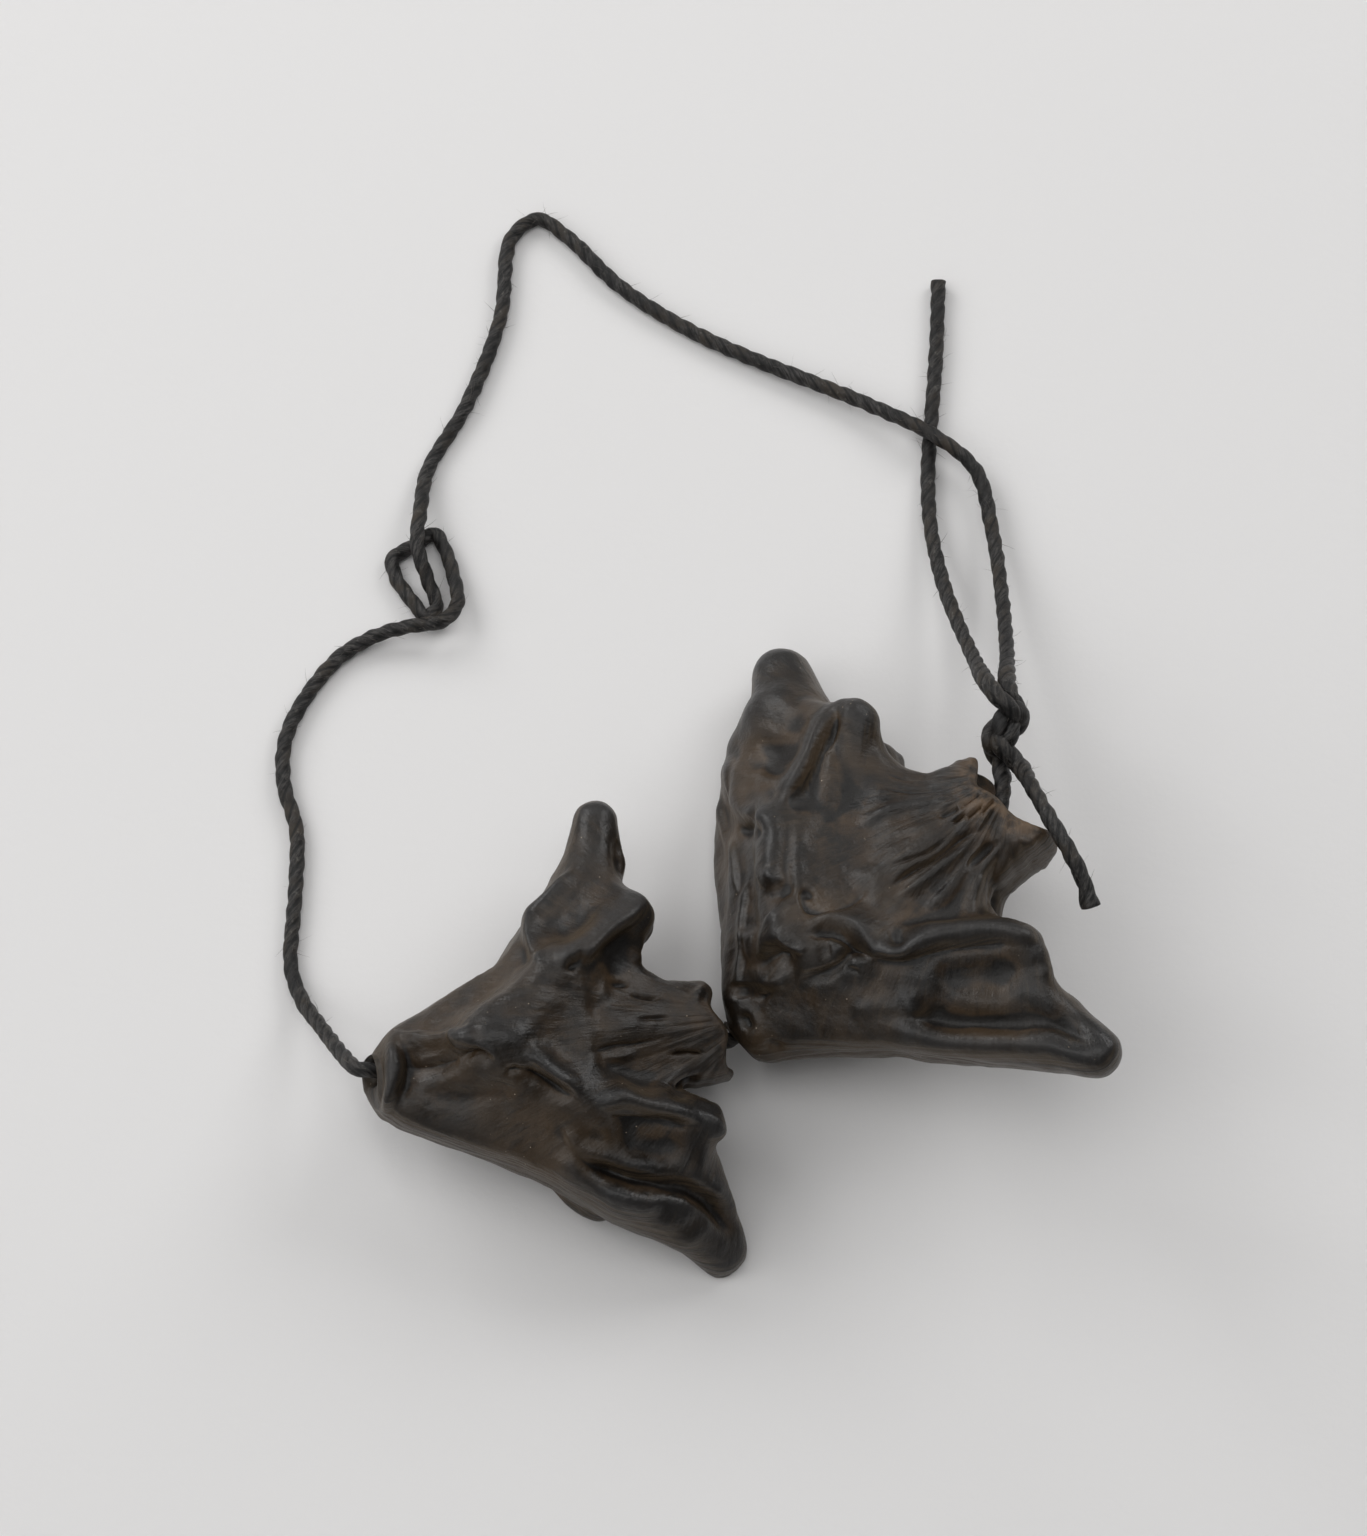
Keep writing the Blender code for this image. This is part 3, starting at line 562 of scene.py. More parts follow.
# A nut is described in its own axes: x runs to the second horn, y from the base to the crown, z
# out of the upper face. A ball is (x, y, z, radius). A crown is its level, lean, two ears, ragged
# edge with its phase, and rounded corner. A foot is its level and slant. A stroke is its width on
# the left and on the right, its height, and its line on the front view about the nut's middle.
rightStrokes = [
    (0.5, 1.8, 0.8, (-4.4, 22), (-5.5, 19), (-6.5, 16.8), (-7.7, 14.8), (-9, 12.2)),
    (2, 0.45, -0.9, (-3.2, 21.8), (-4.5, 19.2), (-5.5, 17), (-6.4, 15), (-7, 13)),
    (1, 1, -0.9, (-7.6, 12.8), (-6.3, 13.2)),
    (2.1, 2.1, 0.7, (-2.2, 20.6), (-1.2, 20)),
    (0.4, 0.7, 0.35, (-3.6, 19.4), (-3.2, 20.6), (-2.3, 21.3), (-1.3, 21.4)),
    (0.4, 0.4, 0.2, (-4.5, 17.2), (-4, 18.3)),
    (0.7, 0.7, -0.4, (-4.2, 19), (-3.2, 18.4)),
    (1.5, 1.5, 0.35, (-12.6, 22.2), (-10.4, 22.9), (-7.6, 22.9)),
    (2.6, 2.6, -1.2, (-9.6, 19), (-11, 14.4)),
    (1.8, 0.9, 0.8, (-14.2, 17.4), (-14, 13.6), (-13, 11.6), (-11.4, 10.7), (-9.2, 10.5)),
    (0.5, 1.1, -0.6, (-13.8, 9.2), (-12.2, 9.6), (-10.9, 9.4)),
    (1.3, 1.9, 0.5, (-9.6, 10.4), (-9.9, 8.4), (-10.4, 6.6), (-11, 5), (-11.8, 3.6)),
    (0.8, 0.8, -0.4, (-8.6, 10.6), (-8.8, 8.2), (-8.9, 6), (-8.7, 4.4), (-8.3, 2.6)),
    (1.7, 1.1, 0.35, (-6.1, 12), (-6.7, 10.2), (-7.5, 8.5), (-7.8, 7), (-7.9, 5.4), (-7.7, 3.2)),
    (0.9, 1.2, -0.6, (-12, 2.6), (-10.4, 3.1), (-8.8, 3.5), (-8.2, 2.8)),
    (0.6, 0.6, 0.35, (-10.4, 4.7), (-9.8, 4.5)),
    (1.3, 1.3, 0.45, (-10.6, 1.2), (-9.2, 0.2)),
    (0.35, 0.35, 0.3, (-9.7, -0.9), (-9.4, -2), (-8.4, -2.6), (-7.3, -2.6), (-7.2, -1.7)),
    (1.1, 0.9, 0.7, (-12.7, -0.2), (-12.2, -2.2), (-12, -4.2)),
    (1.3, 1.3, -1.7, (-10.6, -3.3), (-9.2, -3.8)),
    (0.6, 1.1, 0.45, (-12.2, -5.2), (-10.2, -5.5), (-8.2, -5)),
    (1.1, 1.1, -0.6, (-13.3, -5.8), (-13.4, -7.6)),
    (0.8, 0.8, -0.7, (-2.1, -2), (-1.9, -2.6)),
    (1.4, 1.4, -0.35, (-5.8, -2.7), (-4.2, -2.4)),
    (0.7, 0.7, -0.7, (-7, -1.2), (-5.2, -0.6), (-3.4, -1), (-2.5, -2.1),
     (-2.9, -3.4), (-4.1, -4.6), (-5.6, -5.2), (-7.6, -5.4)),
    (1.5, 0.6, 0.75, (-6.8, -0.2), (-4.2, 0.3), (-2.4, 0), (-1, -0.8), (-0.2, -2.2)),
    (0.8, 0.8, -0.5, (-2.2, -2), (-1.4, -2.9), (-0.4, -3.5)),
    (0.5, 1.5, -0.8, (-1.4, -3), (1, -3.9), (3, -3.8), (4.5, -3.2),
     (6.2, -2.5), (8.6, -2), (11, -1.7), (13.6, -2)),
    (1.2, 0.6, 0.8, (0, -2.4), (1.6, -3), (3.2, -2.8), (4.6, -2), (6.2, -1.4),
     (8.2, -1), (10.5, -0.8), (12.6, -0.8), (14.8, -1.3), (16.4, -1.6)),
    (1, 0.9, -0.55, (1.4, -1.6), (3.2, -1.4)),
    (0.6, 1.2, 0.4, (16.4, -1.6), (17.1, -3.6), (17.4, -6)),
    (2.2, 2.2, -0.9, (5.5, -5.4), (10, -5.4), (15, -5)),
    (0.8, 0.8, 0.5, (3.6, -7.4), (3.9, -8.5)),
    (0.9, 0.9, 0.3, (4, -8.4), (0.6, -8.2), (-2.6, -8.8)),
    (1.7, 0.7, -1.1, (3.6, -8.9), (6.2, -9.8), (8.2, -10.1), (10.6, -10.2),
     (13.5, -10), (16, -9.7), (18.4, -9.9), (21.4, -11.6)),
    (1.3, 0.9, 0.3, (16, -7.4), (19.6, -9), (22.6, -11.2)),
    (0.8, 1.7, 0.6, (1.5, -10), (5.5, -11.3), (9.4, -11.8), (13.6, -11.8), (17.6, -12.2), (22, -13.8)),
    (0.55, 0.55, -0.7, (-13.1, -9.5), (-12.9, -10)),
    (0.5, 0.5, -0.4, (-10.2, -12.2), (-9.7, -12.3)),
    (0.4, 0.4, -0.3, (-11.2, -7.3), (-10.7, -7)),
    (0.35, 0.35, -0.35, (-2.4, -4.6), (-2, -4.8)),
    (0.3, 0.7, 0.45, (-15.7, 13.6), (-15.2, 11), (-14.7, 9.2), (-14.1, 7.2), (-13.8, 5), (-13.5, 2)),
    (0.3, 0.5, 0.4, (-12, 5.2), (-12.8, 2.6), (-13.1, 0.2), (-13.3, -3), (-14, -6.6)),
    (0.5, 0.25, -0.3, (-7.1, 5), (-7.2, 2.6), (-6.7, 1.4), (-5.6, 1), (-4, 1.2), (-2.6, 1.8), (-0.6, 3.4)),
    (0.4, 0.4, -0.4, (-6.7, 3.2), (-6.5, 3)),
    (1.4, 1.4, 0.3, (-2.6, 14.6), (0, 15.6), (1.8, 16.6)),
    (0.8, 0.4, 0.4, (-1.6, 9.6), (0.6, 10.9), (2.4, 11.5), (4.4, 11.8), (6.5, 12), (9, 12.4)),
    (0.3, 0.2, -0.35, (0.2, 13.8), (3, 13.3), (5.3, 13.1), (7.5, 13.6), (9.6, 14.4)),
    (0.25, 0.2, -0.25, (-1.2, 15.1), (1, 15.2), (2.6, 14.6), (4.6, 14)),
    (0.7, 0.4, 0.22, (1, 8.8), (3.5, 9.4), (6.2, 9.9)),
    (0.45, 0.22, -0.4, (1.6, 3.6), (4, 5.2), (5.6, 6), (7.2, 7.1), (8.6, 8.3), (10.6, 9.4)),
    (0.3, 0.2, -0.25, (1, 5.6), (3.4, 6.4), (5.6, 7.2), (7.8, 8.7)),
    (0.35, 0.9, 0.45, (1.8, 2.3), (4.2, 4), (6, 5.3), (8, 6.8), (10, 8.4)),
    (0.35, 0.9, 0.45, (5.2, 1.4), (7.4, 3.5), (8.6, 5.2), (9.8, 6.7), (11.2, 8)),
    (0.5, 0.3, -0.6, (9.2, 5.4), (10.8, 7.1), (12.6, 8.3)),
    (0.5, 0.4, -0.35, (12.9, 8), (12.1, 5.3), (11.7, 2.8), (12, 0.2)),
    (0.5, 0.9, 0.35, (11.8, 7.3), (10.5, 4.7), (9.9, 2.2), (9.6, 0.2)),
    (0.6, 0.9, 0.4, (12.4, 9.7), (13.8, 8.6), (15.3, 8.2), (16.9, 8.9)),
    (0.2, 0.26, -0.5, (6.8, 11), (8, 11.5)),
    (0.24, 0.3, -0.55, (7.6, 10.1), (8.4, 10.5), (9.3, 11.2)),
    (0.2, 0.26, -0.5, (8.9, 12), (10.2, 12.8)),
    (0.2, 0.24, -0.45, (9.5, 10.7), (10.6, 11.6)),
    (0.2, 0.24, -0.4, (10.9, 11.2), (11.8, 12.2)),
]
rightNut = {
    "location": (13.4, 0.9, 10.5),
    "rotation": (13.8, -15.1, -53.3),
    "ridge 1": [(-0.8, -7.2, 6.3, 2.8), (-11, -1, 5.6, 2.3), (-16, 11.6, 4.2, 2.3)],
    "ridge 2": [(-0.8, -7.2, 6.3, 2.8), (6.6, -1, 5.6, 2.2), (14.4, 8.8, 3.8, 2)],
    "under 1": [(-1, -6.6, -5.8, 2.8), (-8.8, 1.2, -5.4, 2.3), (-15.2, 11, -4, 2.1)],
    "under 2": [(-1, -6.6, -5.8, 2.8), (6.4, -1, -5.2, 2.2), (13.2, 7.6, -3.2, 1.9)],
    "horn 1": [(-8, 0, 0, 5.4), (-17.5, 5, -0.4, 5), (-23.7, 7.8, -0.7, 4.2), (-28.3, 9.8, -1.1, 3.2)],
    "horn 2": [(7, -2, -0.5, 5.2), (15, 3.2, -0.5, 4.6), (21, 5.8, -0.2, 3.6), (26.2, 7.4, 0.2, 2.4)],
    "edge 1": [(-2.6, -13.4, 1.4, 3), (-14, -4.6, 1.6, 1.8), (-24, 6, 0.4, 3.3)],
    "keel 1": [(-2.4, -13.8, -1.4, 2.8), (-17.6, -6.4, -2.9, 1.8), (-24.2, 2.6, -1.4, 2.8)],
    "edge 2": [(2, -12.6, 1.2, 2.8), (11.2, -4.6, 2, 2.3), (22, 5.2, 0.4, 2.7)],
    "keel 2": [(2, -12.8, -1, 2.8), (10.6, -4.4, -2.2, 2.2), (21.4, 5, -0.4, 2.7)],
    "web 1": [(-9, 9.6, 2, 2.5), (-5.2, 12.4, 1.6, 2.4), (-3.4, 17.5, 1.2, 2.2)],
    "web 2": [(7, 6.2, 2.2, 2.3), (4.2, 10.6, 2, 2.2), (4.4, 17, 1.2, 2.3)],
    "shield": [(0, 2.5, 4.6, 2.4), (0, 6, 3.9, 2.4), (0, 11, 2.8, 2.4), (0.3, 18, 2.2, 2.3)],
    "neck": [(-0.4, 0, 0, 7.5), (0.2, 11, 0, 4.8), (0.4, 17, 0, 5.1), (0.8, 24, 0, 6.8)],
    "base": [(0.2, -14.2, 0, 3.9), (0, -8, 0, 5.5)],
    "lumps": [],
    "crown": (17.2, 0, 0.9, 0.35, 1, 1.1),
    "folds": 1,
    "crownBrown": 0.75,
    "depth": 1.15,
    "foot": (-17.4, 0),
    "bore": [(0.4, 12.6, 0), (0.3, 4, 0), (0, -4, 0), (-0.3, -12, 0), (-1.2, -16.6, 0)],
    "strokes": rightStrokes,
}
leftStrokes = [
    (0.9, 0.6, 0.8, (2.8, 18.6), (1.2, 16.6), (-0.2, 15),
     (-1.4, 13.8), (-1.8, 12.2), (-1.5, 10.4), (-0.6, 8.8)),
    (0.6, 0.8, -0.4, (6.4, 22), (7.3, 19.8), (7.9, 17.4)),
    (0.55, 1.6, 0.9, (10.2, 15.2), (8.4, 13.8), (6.6, 12.4),
     (5.2, 11.2), (4.1, 10.2), (2.6, 9.4), (0.6, 9.4)),
    (1.7, 0.8, -0.8, (8.8, 12.2), (7, 10.7), (5.2, 9.4)),
    (0.45, 0.45, -0.8, (2.3, 8.9), (3.1, 9.5)),
    (1.7, 1.7, -0.4, (0, 11.2), (1.8, 12.9), (4.2, 15)),
    (2, 2, 0.35, (1.4, 6.4), (-0.6, 3.8), (-2.8, 2), (-5.2, 0.9)),
    (0.4, 1, 0.5, (-15.4, 1.9), (-13, 1.7), (-10.6, 1.7), (-8.8, 2.2), (-7.2, 2.8)),
    (0.8, 0.5, 0.45, (-9.4, 1), (-8.2, 1.5), (-7.2, 1.4)),
    (0.4, 1.1, -1, (-9.2, 0.2), (-7.4, 0.3), (-6.4, -0.2), (-5.4, -1)),
    (0.45, 1.5, -0.55, (-14.4, -1.4), (-12, -1.2), (-10, -0.7), (-8, 0.1)),
    (1.2, 0.5, 0.8, (-2.5, 0.1), (-1.2, -0.6), (-0.2, -1.6), (1, -2.5), (2.2, -3.2), (3.6, -4)),
    (0.45, 1.4, -1, (-3.6, -1.6), (-1.8, -1.8), (-0.8, -2.3), (0.4, -3.1), (2.6, -4.4)),
    (0.45, 0.45, -0.4, (-3.9, -1.7), (-3.4, -1.6)),
    (1, 0.6, 0.85, (4.6, -4.9), (6, -4.8), (7.6, -4.6), (8.8, -5),
     (10.6, -5.4), (12.6, -5.9), (15.4, -6.4)),
    (0.5, 1.3, -1, (6, -6.4), (8, -7), (9.6, -7.1), (11.4, -6.9), (14, -6.9)),
    (0.6, 1, 0.4, (15.2, -6.1), (16.8, -6.9), (17.4, -9)),
    (1.4, 0.7, 0.5, (1.6, -6.4), (2.4, -8.4), (3.4, -9.6), (5.2, -10.3), (7.6, -10.9), (11, -11.6)),
    (0.9, 0.8, -1, (3.8, -10.9), (6, -11.9), (7.4, -12.4), (9.2, -12.9),
     (11.2, -13.2), (14, -13.6), (16.8, -15.6), (18.6, -18.4)),
    (0.7, 1.8, 0.55, (1.2, -9.2), (3.6, -12.2), (6, -13.5), (8.6, -14.3), (12, -15.2)),
    (1.2, 0.7, 0.4, (15, -12), (17.6, -14.6), (19.4, -17.4)),
    (1.7, 1.7, -0.6, (6, -9), (10, -9.4), (14, -9)),
    (0.5, 0.8, 0.85, (-15.3, 2), (-15.2, -0.6), (-15.2, -2.6), (-15.6, -4.4), (-16.5, -6)),
    (1.3, 0.4, -0.5, (-14.2, 0.6), (-14.3, -2), (-14.6, -4.6)),
    (1.3, 1.1, -0.35, (-14, -3.9), (-11.6, -4.2), (-9, -4.4), (-6, -4.2), (-2.6, -3.8)),
    (0.2, 0.2, -0.45, (8.3, 6), (9.6, 5.6), (11.3, 5.5)),
    (0.18, 0.22, -0.3, (4.2, 0.2), (6.8, 0.8), (9, 1), (11.2, 1.5)),
    (0.2, 0.25, -0.55, (12.1, -0.1), (14, 0.2), (15.7, 0)),
    (0.2, 0.2, -0.3, (6.1, 6.9), (8.1, 7)),
    (0.18, 0.25, -0.25, (8.8, 3.5), (12.4, 3.7)),
    (0.4, 0.6, 0.3, (5, -0.4), (7.2, -0.2), (9.2, 0.2)),
    (0.3, 0.5, -0.45, (12.7, -5), (12.7, -3.5), (13.5, -2.7), (15.4, -2.1)),
    (0.8, 0.4, 0.3, (12, -4.8), (12, -3.2), (12.9, -2.1), (14.8, -1.4)),
    (0.9, 0.9, 0.35, (5.3, 8.8), (5.3, 4.6)),
    (1.2, 1.2, 0.5, (9.8, 11.4), (9.3, 8.8)),
    (0.5, 0.5, 0.35, (14.4, 4.6), (15, 5.8), (15.8, 6.8)),
    (0.6, 0.6, 0.25, (10, 7), (12.6, 6.2), (14.6, 5.5)),
]
leftNut = {
    "location": (-18.5, -11.8, 8.75),
    "rotation": (-5.1, 2.5, -79),
    "ridge 1": [(-0.6, -5.8, 6.2, 2.8), (-6.8, 2.6, 5.6, 2.2), (-11.2, 9.7, 4, 2.2)],
    "ridge 2": [(-0.6, -5.8, 6.2, 2.8), (6.2, 2, 5.4, 2.2), (10.2, 12.8, 3.8, 2)],
    "under 1": [(-0.6, -6, -6.2, 2.7), (-6.6, 1.2, -5.2, 2.2), (-10.8, 9.2, -3.8, 2)],
    "under 2": [(-0.6, -6, -6.2, 2.7), (6, 0.4, -5.2, 2.2), (9.8, 11, -3.4, 1.9)],
    "horn 1": [(-5, 0, 0, 5.2), (-12.7, 5.4, 0, 4), (-18.2, 8, 0, 3.1), (-22.4, 8.9, 0, 2.2)],
    "horn 2": [(6, -1, -0.5, 5.2), (13.4, 5.4, -0.5, 4.4), (18.2, 10.4, -2.2, 3), (21, 13.4, -5.3, 2.1)],
    "edge 1": [(-2.5, -13.4, 1.2, 2.3), (-7.2, -2.4, 2.2, 1.9), (-16.9, 7, 0.8, 2.3)],
    "keel 1": [(-2.5, -13.4, -1.2, 2.3), (-8.2, -2.2, -2.2, 1.9), (-17, 6.6, -0.6, 2.4)],
    "edge 2": [(3, -13.2, 1.2, 2.6), (9, -3.4, 1.8, 2.2), (16.6, 9.6, 0.2, 2.3)],
    "keel 2": [(2.8, -13.2, -1.2, 2.6), (9.4, -3, -2.2, 2), (16.4, 9.6, -1.2, 2.2)],
    "web 1": [(-6, 7.6, 2, 2.1), (-2.9, 11.6, 1.6, 1.9), (-2.2, 17.5, 1.2, 1.8)],
    "web 2": [(5.8, 8.2, 2, 2.1), (3.4, 11.8, 1.6, 2), (3.2, 17, 1.4, 2)],
    "shield": [(0, 2.5, 4.5, 2.4), (0, 6, 3.8, 2.4), (0, 11, 2.5, 2.2), (0.3, 18, 1.9, 2)],
    "neck": [(0, 0, 0, 7), (0.1, 11, 0, 3.9), (0.3, 17, 0, 3.9), (0.6, 24, 0, 4.6)],
    "base": [(0.2, -14.2, 0, 4), (0, -8, 0, 5.6)],
    "lumps": [
        ([(9.6, 11, 1, 2.6), (15.4, 12.2, -0.9, 2.8), (20.9, 13.9, -5.2, 2.1)], 2.5),
        ([(12.6, 0.2, -4.4, 1.3), (15, 2.4, -4, 1.1)], 1.5),
        ([(-2.8, -5.2, 6.9, 1.6), (-3.7, -2.5, 7.1, 1.6)], 1),
    ],
    "crown": (16.3, 0.5, 0, 0.4, 2, 0),
    "folds": 0.5,
    "crownBrown": 0.2,
    "depth": 1.45,
    "foot": (-17.3, 0.9),
    "bore": [(0.2, 12, 0), (0.1, 4, 0), (0, -4, 0), (-0.2, -12, 0.3), (-0.7, -16.4, 1.2)],
    "strokes": leftStrokes,
}


# Smooth union of two distances: where they differ by less than reach, the skin fills the corner.
def blend(a, b, reach):
    near = np.maximum(reach - np.abs(a - b), 0.0) / reach
    return np.minimum(a, b) - near ** 3 * reach / 6.0


# Distance to the skin over two balls and the cone between them.
def cone(p, a, b, sunk=0.0):
    run = b[:3] - a[:3]
    t = np.clip(((p - a[:3]) @ run) / max(run @ run, 1e-9), 0.0, 1.0)
    return norm(p - a[:3] - t[..., None] * run, axis=-1) - (a[3] + t * (b[3] - a[3])) + sunk


# Distance to the skin over a chain of balls.
def limb(p, balls):
    balls = np.asarray(balls, float)
    return np.minimum.reduce([cone(p, a, b) for a, b in zip(balls, balls[1:])])


# Distance to the skin stretched over three balls: a flat face with its three cones.
def face(p, a, b, c, sunk):
    one, two = b[:3] - a[:3], c[:3] - a[:3]
    normal = np.cross(one, two)
    square = normal @ normal
    if square < 1e-9:
        return np.minimum(cone(p, a, b, sunk), cone(p, a, c, sunk))
    w = p - a[:3]
    shareB = (np.cross(w, two) @ normal) / square
    shareC = (np.cross(one, w) @ normal) / square
    shareA = 1.0 - shareB - shareC
    inside = (shareA >= 0.0) & (shareB >= 0.0) & (shareC >= 0.0)
    radius = shareA * a[3] + shareB * b[3] + shareC * c[3]
    flat = np.abs(w @ normal) / sqrt(square) - radius + sunk
    distance = np.where(inside, flat, 1e9)
    for first, second in ((a, b), (b, c), (c, a)):
        distance = np.minimum(distance, cone(p, first, second, sunk))
    return distance


# A web between two chains of balls, as pairs of faces.
def web(p, one, two, sunk):
    one, two = np.asarray(one, float), np.asarray(two, float)
    faces = []
    for a, b, c, d in zip(one, one[1:], two[1:], two):
        faces += [face(p, a, b, c, sunk), face(p, a, c, d, sunk)]
    return np.minimum.reduce(faces)


# The same balls on the under side, a little flatter.
def mirrored(chain):
    return [(x, y, -0.95 * z, radius) for x, y, z, radius in chain]


# A chain of balls that is oval: narrower in z than in x.
def squashedLimb(p, balls):
    squash = finish["squash"]
    stretched = p * np.array([1.0, 1.0, 1.0 / squash])
    return limb(stretched, [(x, y, z / squash, radius) for x, y, z, radius in balls]) * squash


# Distance to the nut's skin: faces hung between its ridges, edges and keels, with its horns,
# neck and base.
def nutDistance(p, nut):
    shield, under = nut["shield"], mirrored(nut["shield"])
    corner, sunk = finish["corner"], finish["sunk"]
    f = squashedLimb(p, nut["neck"])
    for name, reach in (("base", 3.5), ("horn 1", 3.0), ("horn 2", 3.0)):
        f = blend(f, limb(p, nut[name]), reach)
    f = blend(f, web(p, nut["ridge 1"][:2], nut["ridge 2"][:2], sunk), corner)
    f = blend(f, web(p, nut["under 1"][:2], nut["under 2"][:2], sunk), corner)
    for side in ("1", "2"):
        ridge, low = nut["ridge " + side], nut["under " + side]
        edge, keel, frill = nut["edge " + side], nut["keel " + side], nut["web " + side]
        f = blend(f, web(p, ridge[1:], [shield[0], frill[0]], sunk), corner)
        f = blend(f, web(p, low[1:], [under[0], mirrored(frill)[0]], sunk), corner)
        f = blend(f, web(p, ridge, edge, sunk), corner)
        f = blend(f, web(p, edge, keel, 0.2), corner)
        f = blend(f, web(p, keel, low, sunk), corner)
        f = blend(f, web(p, frill, shield[1:], 0.0), 2.5)
        f = blend(f, web(p, mirrored(frill), under[1:], 0.0), 2.5)
        f = blend(f, limb(p, ridge), corner)
        f = blend(f, limb(p, low), corner)
    for balls, reach in nut["lumps"]:
        f = blend(f, limb(p, balls), reach)
    return f


# Points on the skin: each ray runs from its start inwards to the nut's middle until it meets it.
def march(nut, theta, phi, start, steps):
    across, up = np.cos(theta)[:, None], np.sin(theta)[:, None]
    ray = np.stack([np.sin(phi) * across, np.cos(phi), np.sin(phi) * up], -1)
    reach = np.broadcast_to(start, phi.shape).copy()
    middle = np.array(finish["middle"])
    for _ in range(steps):
        reach = np.maximum(reach - 0.9 * nutDistance(middle + reach[..., None] * ray, nut), 0.5)
    return middle + reach[..., None] * ray, reach


# Angles round the nut, closer together at the two horns and on the upper face.
def anglesRound(count):
    fine = np.linspace(0.0, tau, 4001)
    density = (1.0 + 2.2 * np.exp(-(np.sin(fine) / 0.28) ** 2)) * (1.0 + 0.35 * np.sin(fine))
    total = np.concatenate([[0.0], np.cumsum((density[1:] + density[:-1]) / 2.0)])
    return np.interp(np.arange(count) / count * total[-1], total, fine)


# Values of a coarse grid at finer angles, straight between its lines.
def refine(values, theta, phi, newTheta, newPhi):
    wrapped = np.concatenate([values, values[:1]])
    place = np.interp(newTheta, np.append(theta, tau), np.arange(len(theta) + 1))
    i = np.minimum(place.astype(int), len(theta) - 1)
    share = (place - i)[:, None]
    lines = wrapped[i] * (1.0 - share) + wrapped[i + 1] * share
    column = np.clip((newPhi - phi[0]) / (phi[1] - phi[0]), 0.0, len(phi) - 1.001)
    j = column.astype(int)
    part = column - j
    line = np.arange(len(newTheta))[:, None]
    return lines[line, j] * (1.0 - part) + lines[line, j + 1] * part


# Height of the crown's edge: a level, a lean, two ears over the horns and a ragged wave, less a
# rounded corner on the side of the first horn.
def crownHeight(nut, theta):
    level, lean, twoEars, ragged, phase, rounded = nut["crown"]
    corner = rounded * np.exp(-((theta - pi) / 0.3) ** 2)
    wave = twoEars * np.cos(2.0 * theta) + ragged * np.sin(5.0 * theta + phase)
    return level + lean * np.cos(theta) + wave - corner


# The outer skin as a grid from the crown's edge to the base's end: first on a coarse grid, then
# on a finer one, then with the points spread evenly along each line.
def outerSkin(nut):
    across, along = finish["coarse"]
    coarse, coarsePhi = anglesRound(across), np.radians(np.linspace(*finish["phiRange"], along))
    _, reach = march(nut, coarse, np.tile(coarsePhi, (across, 1)), finish["startReach"], 26)
    theta = anglesRound(finish["around"])
    phi = np.radians(np.linspace(*finish["phiRange"], finish["fineAlong"]))
    grid = np.tile(phi, (len(theta), 1))
    points, reach = march(nut, theta, grid, refine(reach, coarse, coarsePhi, theta, grid) + 0.2, 5)
    step = norm(np.diff(points, axis=1), axis=2)
    for _ in range(6):
        step = (np.roll(step, 1, 0) + step + np.roll(step, -1, 0)) / 3.0
    step = np.minimum(step, finish["longestStep"])
    rows = np.zeros((len(theta), finish["along"]))
    level, slant = nut["foot"]
    crown, foot = crownHeight(nut, theta), level + slant * np.sin(theta)
    for i in range(len(theta)):
        travelled = np.concatenate([[0.0], np.cumsum(step[i])])
        height = np.minimum.accumulate(points[i, :, 1])
        ends = np.interp([-crown[i], -foot[i]], -height, travelled)
        rows[i] = np.interp(np.linspace(ends[0], ends[1], finish["along"]), travelled, phi)
    points, _ = march(nut, theta, rows, refine(reach, theta, phi, theta, rows) + 0.1, 4)
    return theta, points


# Outward directions of the skin, across its two sets of grid lines.
def skinNormals(points):
    around = np.roll(points, -1, 0) - np.roll(points, 1, 0)
    along = np.gradient(points, axis=1)
    normal = np.cross(along, around)
    normal /= np.maximum(norm(normal, axis=-1), 1e-9)[..., None]
    outward = np.sign(np.median((normal * (points - np.array(finish["middle"]))).sum(-1)))
    return normal * outward


